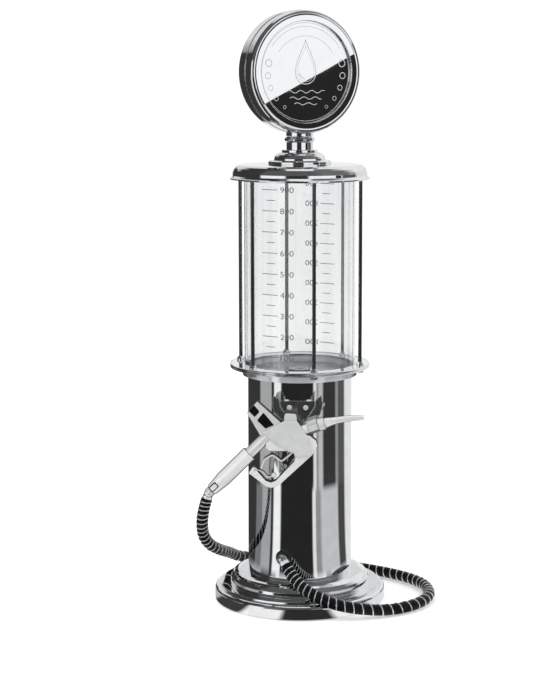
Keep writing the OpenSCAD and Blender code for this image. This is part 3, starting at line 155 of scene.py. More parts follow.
# Points along an arc, their angles, and their shares of the way
def arcRow(tree, size, radius):
    row, share = pointRow(tree, size["Count"])
    angle = addNode(tree, "ShaderNodeMapRange", {
        "Value": share, "To Min": size["From"], "To Max": size["To"]})
    arm = addNode(tree, "ShaderNodeCombineXYZ", {"X": radius})
    place = addNode(tree, "ShaderNodeVectorRotate", {"Vector": arm, "Angle": angle}, rotation_type="Z_AXIS")
    return addNode(tree, "GeometryNodeSetPosition", {"Geometry": row, "Position": place}), angle, share


# Every tree ends alike: shading, real geometry, its material
def endTree(tree, shape, material, smooth=True):
    shaded = addNode(tree, "GeometryNodeSetShadeSmooth", {"Geometry": shape, "Shade Smooth": smooth})
    real = addNode(tree, "GeometryNodeRealizeInstances", {"Geometry": shaded})
    painted = addNode(tree, "GeometryNodeSetMaterial", {"Geometry": real, "Material": material})
    addNode(tree, "NodeGroupOutput", {"Piece": painted})
    return tree


# Camera at the photograph's place
cameraSet = {"place": (0.4183, -1.3471, 0.4307), "pitch": 82.14, "turn": 17.25, "sensor": 36,
             "lens": 90.19, "shiftX": -0.0469, "shiftY": -0.0508}
cameraData = bpy.data.cameras.new("photoCamera")
cameraData.sensor_width = cameraSet["sensor"]
cameraData.lens = cameraSet["lens"]
cameraData.shift_x = cameraSet["shiftX"]
cameraData.shift_y = cameraSet["shiftY"]
camera = putObject("photoCamera", cameraData)
camera.location = cameraSet["place"]
camera.rotation_euler = (radians(cameraSet["pitch"]), 0, radians(cameraSet["turn"]))
bpy.context.scene.camera = camera
bpy.context.scene.view_settings.view_transform = "Standard"
print("camera placed")


# Finishes. Sizes are in millimetres: "patch" is how far a change of tone and gloss reaches, "grain" the
# surface's own texture with its "depth", "edge" the radius that rounds each corner for the light.
# "dark" and "pale" are the two ends of the tone, "rough" those of the roughness. "along" is painted shade:
# towards its outline, as the eye sees it, polished plate is mixed with a flat dark tone, a painted
# reflection of the unlit room that it would mirror there: the start and the end of that change, from 0
# facing the eye to 1 edge on, and how far it goes. The key of painted crease shade paints dark lines on
# corners: how alike the rounded and the plain corner lie where such a corner starts to darken and where it
# is darkest. "nodes" names what wears the finish.
finishSet = {
    # Bright chrome plate on spun steel sheet: a near mirror with a faint haze and long soft waves
    "spunChrome": {"dark": "#e6e8ea", "pale": "#f1f2f4", "metal": 1.0, "rough": (0.02, 0.06), "patch": 9,
        "grain": 38, "depth": 0.016, "edge": 0.35, "nodes": ["base_shell", "column_tube", "gallery_flange",
        "rod_feet", "tank_top_ring", "lid_shell", "finial_base", "sign_neck", "sign_socket",
        "sign_front_shell", "sign_rear_shell", "sign_band"]},
    # Chrome plate on polished castings: rounder edges that catch a bright line
    "castChrome": {"dark": "#dcdee0", "pale": "#e8eaec", "metal": 0.96, "rough": (0.04, 0.1), "patch": 6,
        "grain": 9, "depth": 0.012, "edge": 0.9, "nodes": ["inlet_elbow", "holder_bracket"]},
    # Turned and nickel plated tube: whiter and softer than chrome, it never goes quite black; painted shade
    # darkens it towards its outline
    "nickelTube": {"dark": "#f1f2f3", "pale": "#fcfcfd", "metal": 0.42, "rough": (0.1, 0.18), "patch": 5,
        "grain": 1.2, "depth": 0.006, "edge": 0.3, "along": (0.32, 0.72, 0.92), "nodes": ["column_collar",
        "handle_neck", "lower_ferrule", "upper_ferrule", "spout", "body_cap", "hook_frame", "trigger",
        "hold_open_latch", "holder_screws", "hanging_stud"]},
    # The same plate on a milled nut, with painted shade: its corners are painted as dark lines, and it
    # darkens towards its outline
    "facetedNickel": {"dark": "#f1f2f3", "pale": "#fcfcfd", "metal": 0.42, "rough": (0.1, 0.18), "patch": 5,
        "grain": 1.2, "depth": 0.006, "edge": 0.7, "along": (0.32, 0.72, 0.92), "paintedCreaseShade": (0.995, 0.93),
        "nodes": ["spout_nut", "spout_ring", "swivel_nut"]},
    # Die-cast zinc, polished and nickel plated: pale, with soft broad highlights; painted shade darkens it
    # towards its outline
    "platedCasting": {"dark": "#eeefef", "pale": "#f7f7f8", "metal": 0.24, "rough": (0.2, 0.28), "patch": 12,
        "grain": 12, "depth": 0.006, "edge": 0.9, "along": (0.32, 0.72, 0.92), "nodes": ["nozzle_body",
        "grip_sleeve"]},
    # The same casting bead blasted: half matt, an even silver with a fine tooth
    "blastedCasting": {"dark": "#d0d1d2", "pale": "#dcddde", "metal": 0.2, "rough": (0.38, 0.5), "patch": 7,
        "grain": 0.4, "depth": 0.012, "edge": 0.5, "nodes": ["side_covers"]},
    # Glossy black sheets in the casting's window recesses: painted shade that darkens them, deep gloss,
    # nearly level
    "paintedWindowShade": {"dark": "#0c0d0e", "pale": "#161718", "rough": (0.04, 0.1), "patch": 3, "grain": 2,
        "depth": 0.01, "edge": 0.2},
    # Ground stainless rod: greyer than the plate beside it, its tone set darker still as a painted reflection
    # of the dark it mirrors, with a soft lengthwise sheen
    "darkenedGroundRod": {"dark": "#56595c", "pale": "#6b6e71", "metal": 1.0, "rough": (0.07, 0.15), "patch": 12,
        "grain": 0.6, "depth": 0.006, "edge": 0.1, "stretch": (1, 1, 0.1), "nodes": ["tie_rods"]},
    # Zinc plated steel fasteners: dull silver with a cool cast and handling marks
    "zincPlated": {"dark": "#a9aeb7", "pale": "#c6cad0", "metal": 1.0, "rough": (0.22, 0.4), "patch": 1.6,
        "grain": 0.5, "depth": 0.01, "edge": 0.2, "nodes": ["base_plate_screws", "column_screws",
        "column_foot_ring", "rod_nuts", "tube_clamps", "finial_nut", "sign_stem", "stem_nut", "trigger_pin",
        "latch_pin", "valve_stem"]},
    # Stainless sheet faced on a lathe: grey, with fine rings (0.4 mm feed, drawn at 1.6 so that it shows)
    "facedStainless": {"dark": "#6a6e71", "pale": "#84888b", "metal": 1.0, "rough": (0.16, 0.28), "patch": 9,
        "rings": 1.6, "depth": 0.012, "edge": 0.2, "nodes": ["tank_floor", "outlet_fitting"]},
    # Mirror polished stainless sheet: the clearest reflection on the object
    "mirrorSheet": {"dark": "#f1f2f4", "pale": "#f5f6f8", "metal": 1.0, "rough": (0.003, 0.012), "patch": 14,
        "grain": 60, "depth": 0.006, "edge": 0.2, "nodes": ["sign_faces"]},
    # Acid etched line in that mirror: matt, pale on a dark reflection and grey on a bright one
    "etchedSheet": {"dark": "#c3c6c9", "pale": "#dcdfe1", "metal": 0.3, "rough": (0.55, 0.7), "patch": 0.4,
        "grain": 0.3, "depth": 0.01, "edge": 0},
    # Turned brass: warm yellow, soft lathe sheen
    "turnedBrass": {"dark": "#b8954a", "pale": "#d2b36a", "metal": 1.0, "rough": (0.18, 0.34), "patch": 2,
        "grain": 0.4, "depth": 0.01, "edge": 0.2, "stretch": (0.2, 0.2, 1), "nodes": ["outlet_nut"]},
    # Moulded EPDM rubber: matt black with a powdery bloom
    "mouldedRubber": {"dark": "#161719", "pale": "#26282a", "rough": (0.52, 0.74), "patch": 4, "grain": 0.5,
        "depth": 0.03, "edge": 0.4, "nodes": ["rubber_ring", "lower_gasket", "upper_gasket", "lid_gasket",
        "inlet_grommet", "valve_seat"]},
    # Extruded soft PVC hose: smooth black with little gloss, slightly uneven along its length
    "extrudedHose": {"dark": "#0a0b0c", "pale": "#151618", "rough": (0.34, 0.5), "patch": 4, "grain": 1.2,
        "depth": 0.04, "edge": 0, "nodes": ["hose_tube"], "sockets": {"Specular IOR Level": 0.12}},
    # Moulded ABS: charcoal, the fine cells of a spark-eroded mould
    "mouldedAbs": {"dark": "#1f2124", "pale": "#2a2c2f", "rough": (0.42, 0.6), "patch": 5, "cells": 0.5,
        "depth": 0.03, "edge": 0.4, "nodes": ["base_plate", "sign_spacer"]},
    # Extruded silicone tube: milky, with a soft surface
    "milkySilicone": {"dark": "#dde2e0", "pale": "#e8ecea", "rough": (0.3, 0.48), "patch": 3, "grain": 0.8,
        "depth": 0.02, "edge": 0, "nodes": ["inner_tube"],
        "sockets": {"Transmission Weight": 0.35, "IOR": 1.41}},
    # Cast acrylic tube: clear and glossy, darker only where the eye looks along the wall
    "castAcrylic": {"dark": "#ebeced", "pale": "#f6f7f7", "rough": (0.0, 0.01), "patch": 14, "grain": 70,
        "depth": 0.01, "edge": 0.2, "stretch": (1, 1, 0.1), "nodes": ["tank_cylinder"],
        "sockets": {"Transmission Weight": 1.0, "IOR": 1.49}},
    # Screen printed ink: flat grey, worn a little by washing
    "scaleInk": {"dark": "#515457", "pale": "#777a7d", "rough": (0.45, 0.6), "patch": 0.8, "grain": 0.3,
        "depth": 0.01, "edge": 0},
    # Hard-drawn bright spring wire: small sharp highlights on each curl
    "springWire": {"dark": "#d6d9dc", "pale": "#eceef0", "metal": 0.75, "rough": (0.08, 0.18), "patch": 2,
        "grain": 0.6, "depth": 0.006, "edge": 0, "nodes": ["hose_spring", "valve_spring"]},
}
# What the finishes share: the span of noise that a patch uses, the details of both noises, the pace of a
# wave texture at scale 1 and its bend, the weight of relief, how finely an edge is rounded, the flat dark
# tone of the painted shade that stands for the unlit room, and the colour of the light that goes through
# the acrylic
paintSet = {"patchSpan": (0.3, 0.7), "patchDetail": 3.0, "grainDetail": 1.0, "wavePace": 0.314,
            "waveBend": 0.5, "relief": 0.7, "edgeSamples": 6, "paintedRoomShade": "#2b2d2f", "acrylicShade": "#f2f4f4"}


def makeFinish(name, look):
    material = bpy.data.materials.new(name)
    material.use_nodes = True
    tree = material.node_tree
    shader = tree.nodes["Principled BSDF"]
    shader.inputs["Metallic"].default_value = look.get("metal", 0.0)
    for socketName, value in look.get("sockets", {}).items():
        shader.inputs[socketName].default_value = value
    place = addNode(tree, "ShaderNodeMapping", {
        "Vector": addNode(tree, "ShaderNodeTexCoord").outputs["Object"],
        "Scale": look.get("stretch", (1, 1, 1))})
    patches = addNode(tree, "ShaderNodeTexNoise", {
        "Vector": place, "Scale": 1 / (look["patch"] * mm), "Detail": paintSet["patchDetail"]})
    share = addNode(tree, "ShaderNodeMapRange", {
        "Value": patches, "From Min": paintSet["patchSpan"][0], "From Max": paintSet["patchSpan"][1]})
    tone = addNode(tree, "ShaderNodeMix", {
        0: share, 6: linear(look["dark"]), 7: linear(look["pale"])}, data_type="RGBA")
    tree.links.new(tone.outputs[2], shader.inputs["Base Color"])
    gloss = addNode(tree, "ShaderNodeMapRange", {
        "Value": share, "To Min": look["rough"][0], "To Max": look["rough"][1]})
    tree.links.new(gloss.outputs["Result"], shader.inputs["Roughness"])
    if "rings" in look:
        height = addNode(tree, "ShaderNodeTexWave", {
            "Vector": place, "Distortion": paintSet["waveBend"],
            "Scale": paintSet["wavePace"] / (look["rings"] * mm)}, wave_type="RINGS",
            rings_direction="Z").outputs["Fac"]
    elif "cells" in look:
        height = addNode(tree, "ShaderNodeTexVoronoi", {
            "Vector": place, "Scale": 1 / (look["cells"] * mm)}).outputs["Distance"]
    else:
        height = addNode(tree, "ShaderNodeTexNoise", {
            "Vector": place, "Scale": 1 / (look["grain"] * mm),
            "Detail": paintSet["grainDetail"]}).outputs["Fac"]
    relief = addNode(tree, "ShaderNodeBump", {
        "Height": height, "Distance": look["depth"] * mm, "Strength": paintSet["relief"]})
    if look["edge"]:
        rounded = addNode(tree, "ShaderNodeBevel", {
            "Radius": look["edge"] * mm}, samples=paintSet["edgeSamples"])
        tree.links.new(rounded.outputs["Normal"], relief.inputs["Normal"])
    tree.links.new(relief.outputs["Normal"], shader.inputs["Normal"])
    # Painted shade: towards the outline, as the eye sees it, the finish is mixed with a flat dark tone that
    # stands for the unlit room mirrored there
    if "along" in look:
        start, end, most = look["along"]
        aside = addNode(tree, "ShaderNodeLayerWeight").outputs["Facing"]
        share = addNode(tree, "ShaderNodeMapRange", {
            "Value": aside, "From Min": start, "From Max": end, "To Max": most})
        # Painted shade on corners: where the rounded normal turns away from the plain one, the corner is
        # painted dark
        if "paintedCreaseShade" in look:
            start, end = look["paintedCreaseShade"]
            plain = addNode(tree, "ShaderNodeNewGeometry").outputs["True Normal"]
            alike = addNode(tree, "ShaderNodeVectorMath", {0: rounded, 1: plain}, operation="DOT_PRODUCT")
            paintedCrease = addNode(tree, "ShaderNodeMapRange", {
                "Value": alike.outputs["Value"], "From Min": start, "From Max": end, "To Max": most})
            share = addNode(tree, "ShaderNodeMath", {0: share, 1: paintedCrease}, operation="MAXIMUM")
        paintedRoomShade = addNode(tree, "ShaderNodeBsdfDiffuse", {"Color": linear(paintSet["paintedRoomShade"])})
        both = addNode(tree, "ShaderNodeMixShader", {0: share, 1: shader, 2: paintedRoomShade})
        tree.links.new(both.outputs[0], tree.nodes["Material Output"].inputs["Surface"])
    return material


finishes = {name: makeFinish(name, look) for name, look in finishSet.items()}

# Light goes through the acrylic instead of leaving a dark shadow inside and under the tank
acrylicTree = finishes["castAcrylic"].node_tree
passing = addNode(acrylicTree, "ShaderNodeBsdfTransparent", {"Color": linear(paintSet["acrylicShade"])})
acrylicMix = addNode(acrylicTree, "ShaderNodeMixShader", {
    0: addNode(acrylicTree, "ShaderNodeLightPath").outputs["Is Shadow Ray"],
    1: acrylicTree.nodes["Principled BSDF"], 2: passing})
acrylicTree.links.new(acrylicMix.outputs[0], acrylicTree.nodes["Material Output"].inputs["Surface"])

bare = set(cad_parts)
for finishName, look in finishSet.items():
    for node in look.get("nodes", []):
        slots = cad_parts[node].data.materials
        slots.clear()
        slots.append(finishes[finishName])
        bare.remove(node)
print("finishes made:", len(finishes), "left bare:", sorted(bare))


# Hose from the column's inlet to the nozzle, with its wound wire. The route lies in millimetres.
hoseSet = {
    "route": [
        (3.75, -49.5, 39.45), (12, -53.9, 30.3), (22, -57.5, 23.5), (34, -58.5, 18), (46, -57, 13.5),
        (57.5, -52.5, 10.3), (68.5, -46, 7.8), (79, -38.5, 6), (88.5, -29.5, 5.1), (97, -19.5, 5.1),
        (103, -8.5, 5.1), (106, 4, 5.1), (106, 17, 5.1), (102.5, 29.3, 5.1), (96.6, 41.4, 5.1),
        (88.4, 51, 5.1), (78.4, 58.6, 5.1), (67.2, 64.8, 5.1), (55.2, 69.6, 5.1), (40, 74.2, 5.1),
        (24, 78.2, 5.1), (8, 82.1, 5.1), (-7.2, 86.1, 5.1), (-22, 89.4, 5.1), (-37.3, 89.4, 5.1),
        (-50.6, 84.5, 5.4), (-60.9, 75.8, 7), (-67.3, 65, 9.6), (-70.6, 53, 13.4), (-71, 39.6, 18.3),
        (-69.6, 25.5, 23.7), (-67.5, 9.5, 29.2), (-65.2, -6, 34.3), (-63, -20.5, 39.4),
        (-61.7, -34.5, 44.8), (-61.2, -47.8, 50.9), (-61.3, -60.8, 60.4), (-60.3, -68.7, 71.4),
        (-58.1, -72.4, 83.2), (-54.85, -72.7, 95.05)],
    "marks": 420,
    # the soft wall swells between the curls; the plain solid stays inside them
    "skin": {"Diameter": 8.9 * mm, "Sides": 28},
    "winding": {"Wound": 10 * mm, "Wire": 1.05 * mm, "Steps per Turn": 24, "Wire Sides": 8,
                "From": 0.002, "To": 0.998},
    # pitch of the wire in millimetres at shares of the hose's length, from the column on
    "pitches": [(0, 3.9), (0.05, 4.8), (0.1, 6.4), (0.15, 8.4), (0.2, 8.8), (0.25, 8), (0.3, 7),
        (0.36, 7.2), (0.5, 7.4), (0.64, 9), (0.7, 12.5), (0.86, 12.5), (0.9, 8), (0.94, 4.6), (1, 3.2)],
    # places where the hose would stay with the column and begin to follow the nozzle; nothing in the script
    # reads them
    "freeFrom": (-0.032, 0, 0.024), "heldFrom": (-0.08, 0, 0.06)}


# A smooth curve through the points of a route
def smoothRoute(points, stepsEach=24):
    p = [Vector(q) * mm for q in points]
    line = []
    for i in range(len(p) - 1):
        a, b, c, d = p[max(i - 1, 0)], p[i], p[i + 1], p[min(i + 2, len(p) - 1)]
        for k in range(stepsEach):
            f = k / stepsEach
            line.append((2 * b + (c - a) * f + (2 * a - 5 * b + 4 * c - d) * f * f
                         + (3 * b - 3 * c + d - a) * f ** 3) / 2)
    return line + [p[-1]]


def lengthOf(line):
    return sum((b - a).length for a, b in zip(line, line[1:]))


# The same line with its points at even distances
def evenly(line, count):
    total, marks, walked, i = lengthOf(line), [line[0]], 0.0, 0
    for k in range(1, count):
        goal = total * k / count
        while walked + (line[i + 1] - line[i]).length < goal:
            walked += (line[i + 1] - line[i]).length
            i += 1
        marks.append(line[i].lerp(line[i + 1], (goal - walked) / (line[i + 1] - line[i]).length))
    return marks + [line[-1]]


# Value at a share, from a table of shares and values
def atShare(table, share):
    for (s0, v0), (s1, v1) in zip(table, table[1:]):
        if share <= s1:
            return v0 + (v1 - v0) * (share - s0) / (s1 - s0)
    return table[-1][1]


# Turns of the wire, and how far along the hose it is after each share of them
def turnsAlong(pitches, length, marks=24, fine=2000):
    sums = [0.0]
    for k in range(fine):
        sums.append(sums[-1] + length / fine / (atShare(pitches, (k + 0.5) / fine) * mm))
    table, k = [], 0
    for m in range(marks + 1):
        while k < fine and sums[k] < sums[-1] * m / marks:
            k += 1
        table.append((m / marks, k / fine))
    return sums[-1], table


# A round skin along a line
def skinTree(material):
    tree, size = startTree("skinAlongLine", ["Diameter"], ["Sides"])
    return endTree(tree, roundWall(tree, size["Line"], size["Diameter"], size["Sides"]), material)


# Wire wound round a line: its points walk along the line at the given pace while they turn about it
def windingTree(material, pace):
    tree, size = startTree("wireRoundLine", ["Turns", "Wound", "Wire", "From", "To"],
                           ["Steps per Turn", "Wire Sides"])
    path = addNode(tree, "GeometryNodeMeshToCurve", {"Mesh": size["Line"]})
    steps = addNode(tree, "ShaderNodeMath", {
        0: size["Turns"], 1: size["Steps per Turn"]}, operation="MULTIPLY")
    count = addNode(tree, "ShaderNodeMath", {0: steps, 1: 1.0}, operation="ADD")
    row, share = pointRow(tree, count)
    walk = addNode(tree, "ShaderNodeFloatCurve", {"Value": share})
    curve = walk.mapping.curves[0]
    curve.points[0].location, curve.points[1].location = pace[0], pace[-1]
    for mark in pace[1:-1]:
        curve.points.new(*mark)
    walk.mapping.update()
    along = addNode(tree, "ShaderNodeMapRange", {"Value": walk, "To Min": size["From"], "To Max": size["To"]})
    spot = addNode(tree, "GeometryNodeSampleCurve", {
        "Curves": path, "Factor": along}, mode="FACTOR", use_all_curves=True)
    turned = addNode(tree, "ShaderNodeMath", {0: share, 1: size["Turns"]}, operation="MULTIPLY")
    angle = addNode(tree, "ShaderNodeMath", {0: turned, 1: 2 * pi}, operation="MULTIPLY")
    arm = addNode(tree, "ShaderNodeVectorRotate", {
        "Vector": spot.outputs["Normal"], "Axis": spot.outputs["Tangent"], "Angle": angle},
        rotation_type="AXIS_ANGLE")
    middle = addNode(tree, "ShaderNodeMath", {0: size["Wound"], 1: size["Wire"]}, operation="SUBTRACT")
    reach = addNode(tree, "ShaderNodeMath", {0: middle, 1: 0.5}, operation="MULTIPLY")
    out = addNode(tree, "ShaderNodeVectorMath", {0: arm, "Scale": reach}, operation="SCALE")
    place = addNode(tree, "ShaderNodeVectorMath", {0: spot.outputs["Position"], 1: out}, operation="ADD")
    wound = addNode(tree, "GeometryNodeSetPosition", {"Geometry": row, "Position": place})
    return endTree(tree, roundWall(tree, wound, size["Wire"], size["Wire Sides"]), material)


hoseLine = evenly(smoothRoute(hoseSet["route"]), hoseSet["marks"])
hoseLength = lengthOf(hoseLine)
turns, pace = turnsAlong(hoseSet["pitches"], hoseLength)
hose = grow("hose", hoseLine, skinTree(finishes["extrudedHose"]), hoseSet["skin"])
hoseWire = grow("hoseWire", hoseLine, windingTree(finishes["springWire"], pace),
                {**hoseSet["winding"], "Turns": turns})
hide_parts("hose_tube")
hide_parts("hose_spring")
for piece in (hose, hoseWire):
    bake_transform(piece)
print("hose:", round(hoseLength / mm), "mm with", round(turns), "turns of wire")


# Soft tube inside the column, from the tank's outlet down to the inlet
innerTubeSet = {
    "places": [(0, 181.5), (0, 175), (0, 166), (1, 150), (6, 125), (10, 98), (9, 74), (2, 55), (-10, 46),
        (-19, 43.7), (-27, 43.7), (-35.5, 43.7)],
    "stepsEach": 10, "skin": {"Diameter": 8 * mm, "Sides": 24}}
tubeLine = smoothRoute([(0, y, z) for y, z in innerTubeSet["places"]], innerTubeSet["stepsEach"])
innerTube = grow("innerTube", tubeLine, skinTree(finishes["milkySilicone"]), innerTubeSet["skin"])
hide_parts("inner_tube")
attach(innerTube, "root")


# Volume scales printed on the front and the back of the tank
scaleSet = {
    "ticks": {"Count": 17, "Pitch": 8.3 * mm, "Lowest": 206.7 * mm, "Radius": 45.03 * mm,
              "Long Tick": 14.4 * mm, "Short Tick": 7.9 * mm, "Tick Height": 0.55 * mm,
              "Long Middle": radians(-14.7) * 45.03 * mm, "Short Middle": radians(-13.2) * 45.03 * mm},
    "numbers": range(100, 1000, 100), "numberPitch": 16.6 * mm, "numberLeft": -2.7,
    "numberWidth": 10.9 * mm, "numberHeight": 4.5 * mm, "sides": {"front": 0, "rear": 180}}


# A column of level ticks, every other one short, bent round an upright axis
def tickTree(material):
    tree, size = startTree("tickColumn", [
        "Pitch", "Lowest", "Radius", "Long Tick", "Short Tick", "Tick Height", "Long Middle",
        "Short Middle", "Turn"], ["Count"])
    foot = addNode(tree, "ShaderNodeCombineXYZ", {"Z": size["Lowest"]})
    step = addNode(tree, "ShaderNodeCombineXYZ", {"Z": size["Pitch"]})
    row = addNode(tree, "GeometryNodeMeshLine", {
        "Count": size["Count"], "Start Location": foot, "Offset": step})
    odd = addNode(tree, "ShaderNodeMath", {
        0: addNode(tree, "GeometryNodeInputIndex"), 1: 2.0}, operation="MODULO")
    long = addNode(tree, "ShaderNodeMapRange", {
        "Value": odd, "To Min": size["Long Tick"], "To Max": size["Short Tick"]})
    aside = addNode(tree, "ShaderNodeMapRange", {
        "Value": odd, "To Min": size["Long Middle"], "To Max": size["Short Middle"]})
    bar = addNode(tree, "GeometryNodeMeshGrid", {
        "Size X": 1.0, "Size Y": 1.0, "Vertices X": 10, "Vertices Y": 2})
    stretch = addNode(tree, "ShaderNodeCombineXYZ", {"X": long, "Y": size["Tick Height"], "Z": 1.0})
    ticks = addNode(tree, "GeometryNodeInstanceOnPoints", {
        "Points": row, "Instance": bar, "Rotation": (radians(90), 0, 0), "Scale": stretch})
    slide = addNode(tree, "ShaderNodeCombineXYZ", {"X": aside})
    slid = addNode(tree, "GeometryNodeTranslateInstances", {
        "Instances": ticks, "Translation": slide, "Local Space": False})
    flat = addNode(tree, "GeometryNodeRealizeInstances", {"Geometry": slid})
    place = addNode(tree, "ShaderNodeSeparateXYZ", {0: addNode(tree, "GeometryNodeInputPosition")})
    arc = addNode(tree, "ShaderNodeMath", {0: place.outputs["X"], 1: size["Radius"]}, operation="DIVIDE")
    angle = addNode(tree, "ShaderNodeMath", {0: arc, 1: size["Turn"]}, operation="ADD")
    front = addNode(tree, "ShaderNodeMath", {0: size["Radius"], 1: -1.0}, operation="MULTIPLY")
    arm = addNode(tree, "ShaderNodeCombineXYZ", {"Y": front, "Z": place.outputs["Z"]})
    bent = addNode(tree, "ShaderNodeVectorRotate", {"Vector": arm, "Angle": angle}, rotation_type="Z_AXIS")
    wrapped = addNode(tree, "GeometryNodeSetPosition", {"Geometry": flat, "Position": bent})
    return endTree(tree, wrapped, material)


# A number's flat shape: its corners, from 0 to 1 across and up, and its faces
def numberShape(text):
    curve = bpy.data.curves.new("number", "FONT")
    curve.body = text
    curve.resolution_u = 4
    mesh = plainMesh(putObject("number", curve))
    places = [v.co.copy() for v in mesh.vertices]
    faces = [list(p.vertices) for p in mesh.polygons]
    bpy.data.meshes.remove(mesh)
    low = Vector((min(p.x for p in places), min(p.y for p in places)))
    high = Vector((max(p.x for p in places), max(p.y for p in places)))
    return [((p.x - low.x) / (high.x - low.x), (p.y - low.y) / (high.y - low.y)) for p in places], faces


def tankScale(name, turn):
    ticks = grow(name + "Ticks", [(0, 0, 0)], tickTree(finishes["scaleInk"]),
                 {**scaleSet["ticks"], "Turn": radians(turn)})
    arc, points, faces = scaleSet["ticks"]["Radius"], [], []
    for k, number in enumerate(scaleSet["numbers"]):
        places, shapes = numberShape(str(number))
        middle = scaleSet["ticks"]["Lowest"] + k * scaleSet["numberPitch"]
        faces += [[len(points) + i for i in shape] for shape in shapes]
        for across, up in places:
            angle = radians(scaleSet["numberLeft"] + turn) + across * scaleSet["numberWidth"] / arc
            points.append((arc * sin(angle), -arc * cos(angle),
                           middle + (up - 0.5) * scaleSet["numberHeight"]))
    numbers = meshPiece(name + "Numbers", points, faces, finishes["scaleInk"], False)
    for piece in (ticks, numbers):
        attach(piece, "root")


for side, turn in scaleSet["sides"].items():
    tankScale(side + "Scale", turn)
print("tank scales printed")


# Faces of the sign, etched with a drop above waves, bubbles and a gauge. Angles are in degrees.
signSet = {
    "height": 430.9 * mm, "turn": 44, "faceOut": 10.42 * mm, "rimRing": 38.6 * mm,
    # the width of a line, and those of the other lines as shares of it
    "line": 0.55 * mm, "rimWidth": 0.7, "dropWidth": 1.3, "innerWidth": 0.6, "glintWidth": 1.6,
    "gaugeWidth": 0.8,
    "dropTop": 25 * mm, "dropMiddle": 1 * mm, "dropRadius": 10.5 * mm, "dropFullness": 1.25,
    "dropTaper": 1.6, "innerDrop": 0.82, "glint": (6.2 * mm, 200, 265, 20),
    # height, half the length and how high it swings for each wave, in millimetres
    "waves": [(-15.5, 17, 1.0), (-20.5, 14, 0.9), (-25, 10, 0.8)], "waveLength": 10,
    "gauge": {"Count": 27, "Outer": 34.5 * mm, "Long": 5 * mm, "Short": 2.5 * mm, "From": radians(34),
              "To": radians(146), "Line": 0.55 * mm},
    # the two arcs that hold the gauge: their radii, first and last angle, and points
    "gaugeArcs": [(28.3 * mm, 32, 148, 64), (35.7 * mm, 32, 148, 64)],
    "bubbles": {"Count": 5, "Path Radius": 33.2 * mm, "Largest": 3.1 * mm, "Smallest": 1.4 * mm},
    "bubbleAngles": (12, -56), "bubbleBore": 0.76,
    # polished flat ring on each rim: radius and height over the sign's middle, in millimetres
    "rimProfile": [(40.15, 11.7), (40.15, 12.85), (40.22, 12.96), (40.35, 13), (40.4, 13), (44.45, 13),
        (44.5, 13), (44.7, 12.94), (44.8, 12.8), (44.8, 12.2), (41.5, 12.2), (41, 11.7)]}
signFrame = (Matrix.Translation((0, 0, signSet["height"]))
             @ Matrix.Rotation(radians(signSet["turn"]), 4, "Z") @ Matrix.Rotation(radians(90), 4, "X"))


# A flat band of even width along points in a plane
def ribbon(line, width, closed=False):
    n, points, faces = len(line), [], []
    for i in range(n):
        before = line[i - 1] if closed or i else line[0]
        after = line[(i + 1) % n] if closed or i < n - 1 else line[-1]
        way = (Vector(after) - Vector(before)).normalized()
        side = Vector((-way.y, way.x)) * width / 2
        points += [Vector(line[i]) + side, Vector(line[i]) - side]
    for i in range(n if closed else n - 1):
        j = (i + 1) % n
        faces.append((2 * i, 2 * i + 1, 2 * j + 1, 2 * j))
    return points, faces


def arcLine(centreHeight, radius, start, end, count):
    angles = [radians(start + (end - start) * i / count) for i in range(count)]
    return [(radius * cos(a), centreHeight + radius * sin(a)) for a in angles]


def dropLine(scale, count=64):
    high, low = signSet["dropTop"] - signSet["dropMiddle"], signSet["dropRadius"]
    line = []
    for i in range(count):
        a = 2 * pi * i / count
        line.append((-scale * low * signSet["dropFullness"] * sin(a) * sin(a / 2) ** signSet["dropTaper"],
                     signSet["dropMiddle"] + scale * (high * (1 + cos(a)) - low * (1 - cos(a))) / 2))
    return line


def waveLine(low, half, height, count=60):
    places = [-half + 2 * half * i / count for i in range(count + 1)]
    return [(x * mm, (low + height * sin(2 * pi * (x + half) / signSet["waveLength"])) * mm) for x in places]


# Rings of falling size along an arc
def bubbleTree(material):
    tree, size = startTree("bubbleRow", ["Path Radius", "From", "To", "Largest", "Smallest"], ["Count"])
    seats, _, share = arcRow(tree, size, size["Path Radius"])
    both = addNode(tree, "GeometryNodeJoinGeometry")
    for radius in (1.0, signSet["bubbleBore"]):
        circle = addNode(tree, "GeometryNodeMeshCircle", {"Vertices": 40, "Radius": radius})
        tree.links.new(circle.outputs[0], both.inputs[0])
    rim = addNode(tree, "GeometryNodeMeshToCurve", {"Mesh": both})
    ring = addNode(tree, "GeometryNodeFillCurve", {"Curve": rim})
    radius = addNode(tree, "ShaderNodeMapRange", {
        "Value": share, "To Min": size["Largest"], "To Max": size["Smallest"]})
    rings = addNode(tree, "GeometryNodeInstanceOnPoints", {
        "Points": seats, "Instance": ring, "Scale": radius})
    return endTree(tree, rings, material, False)


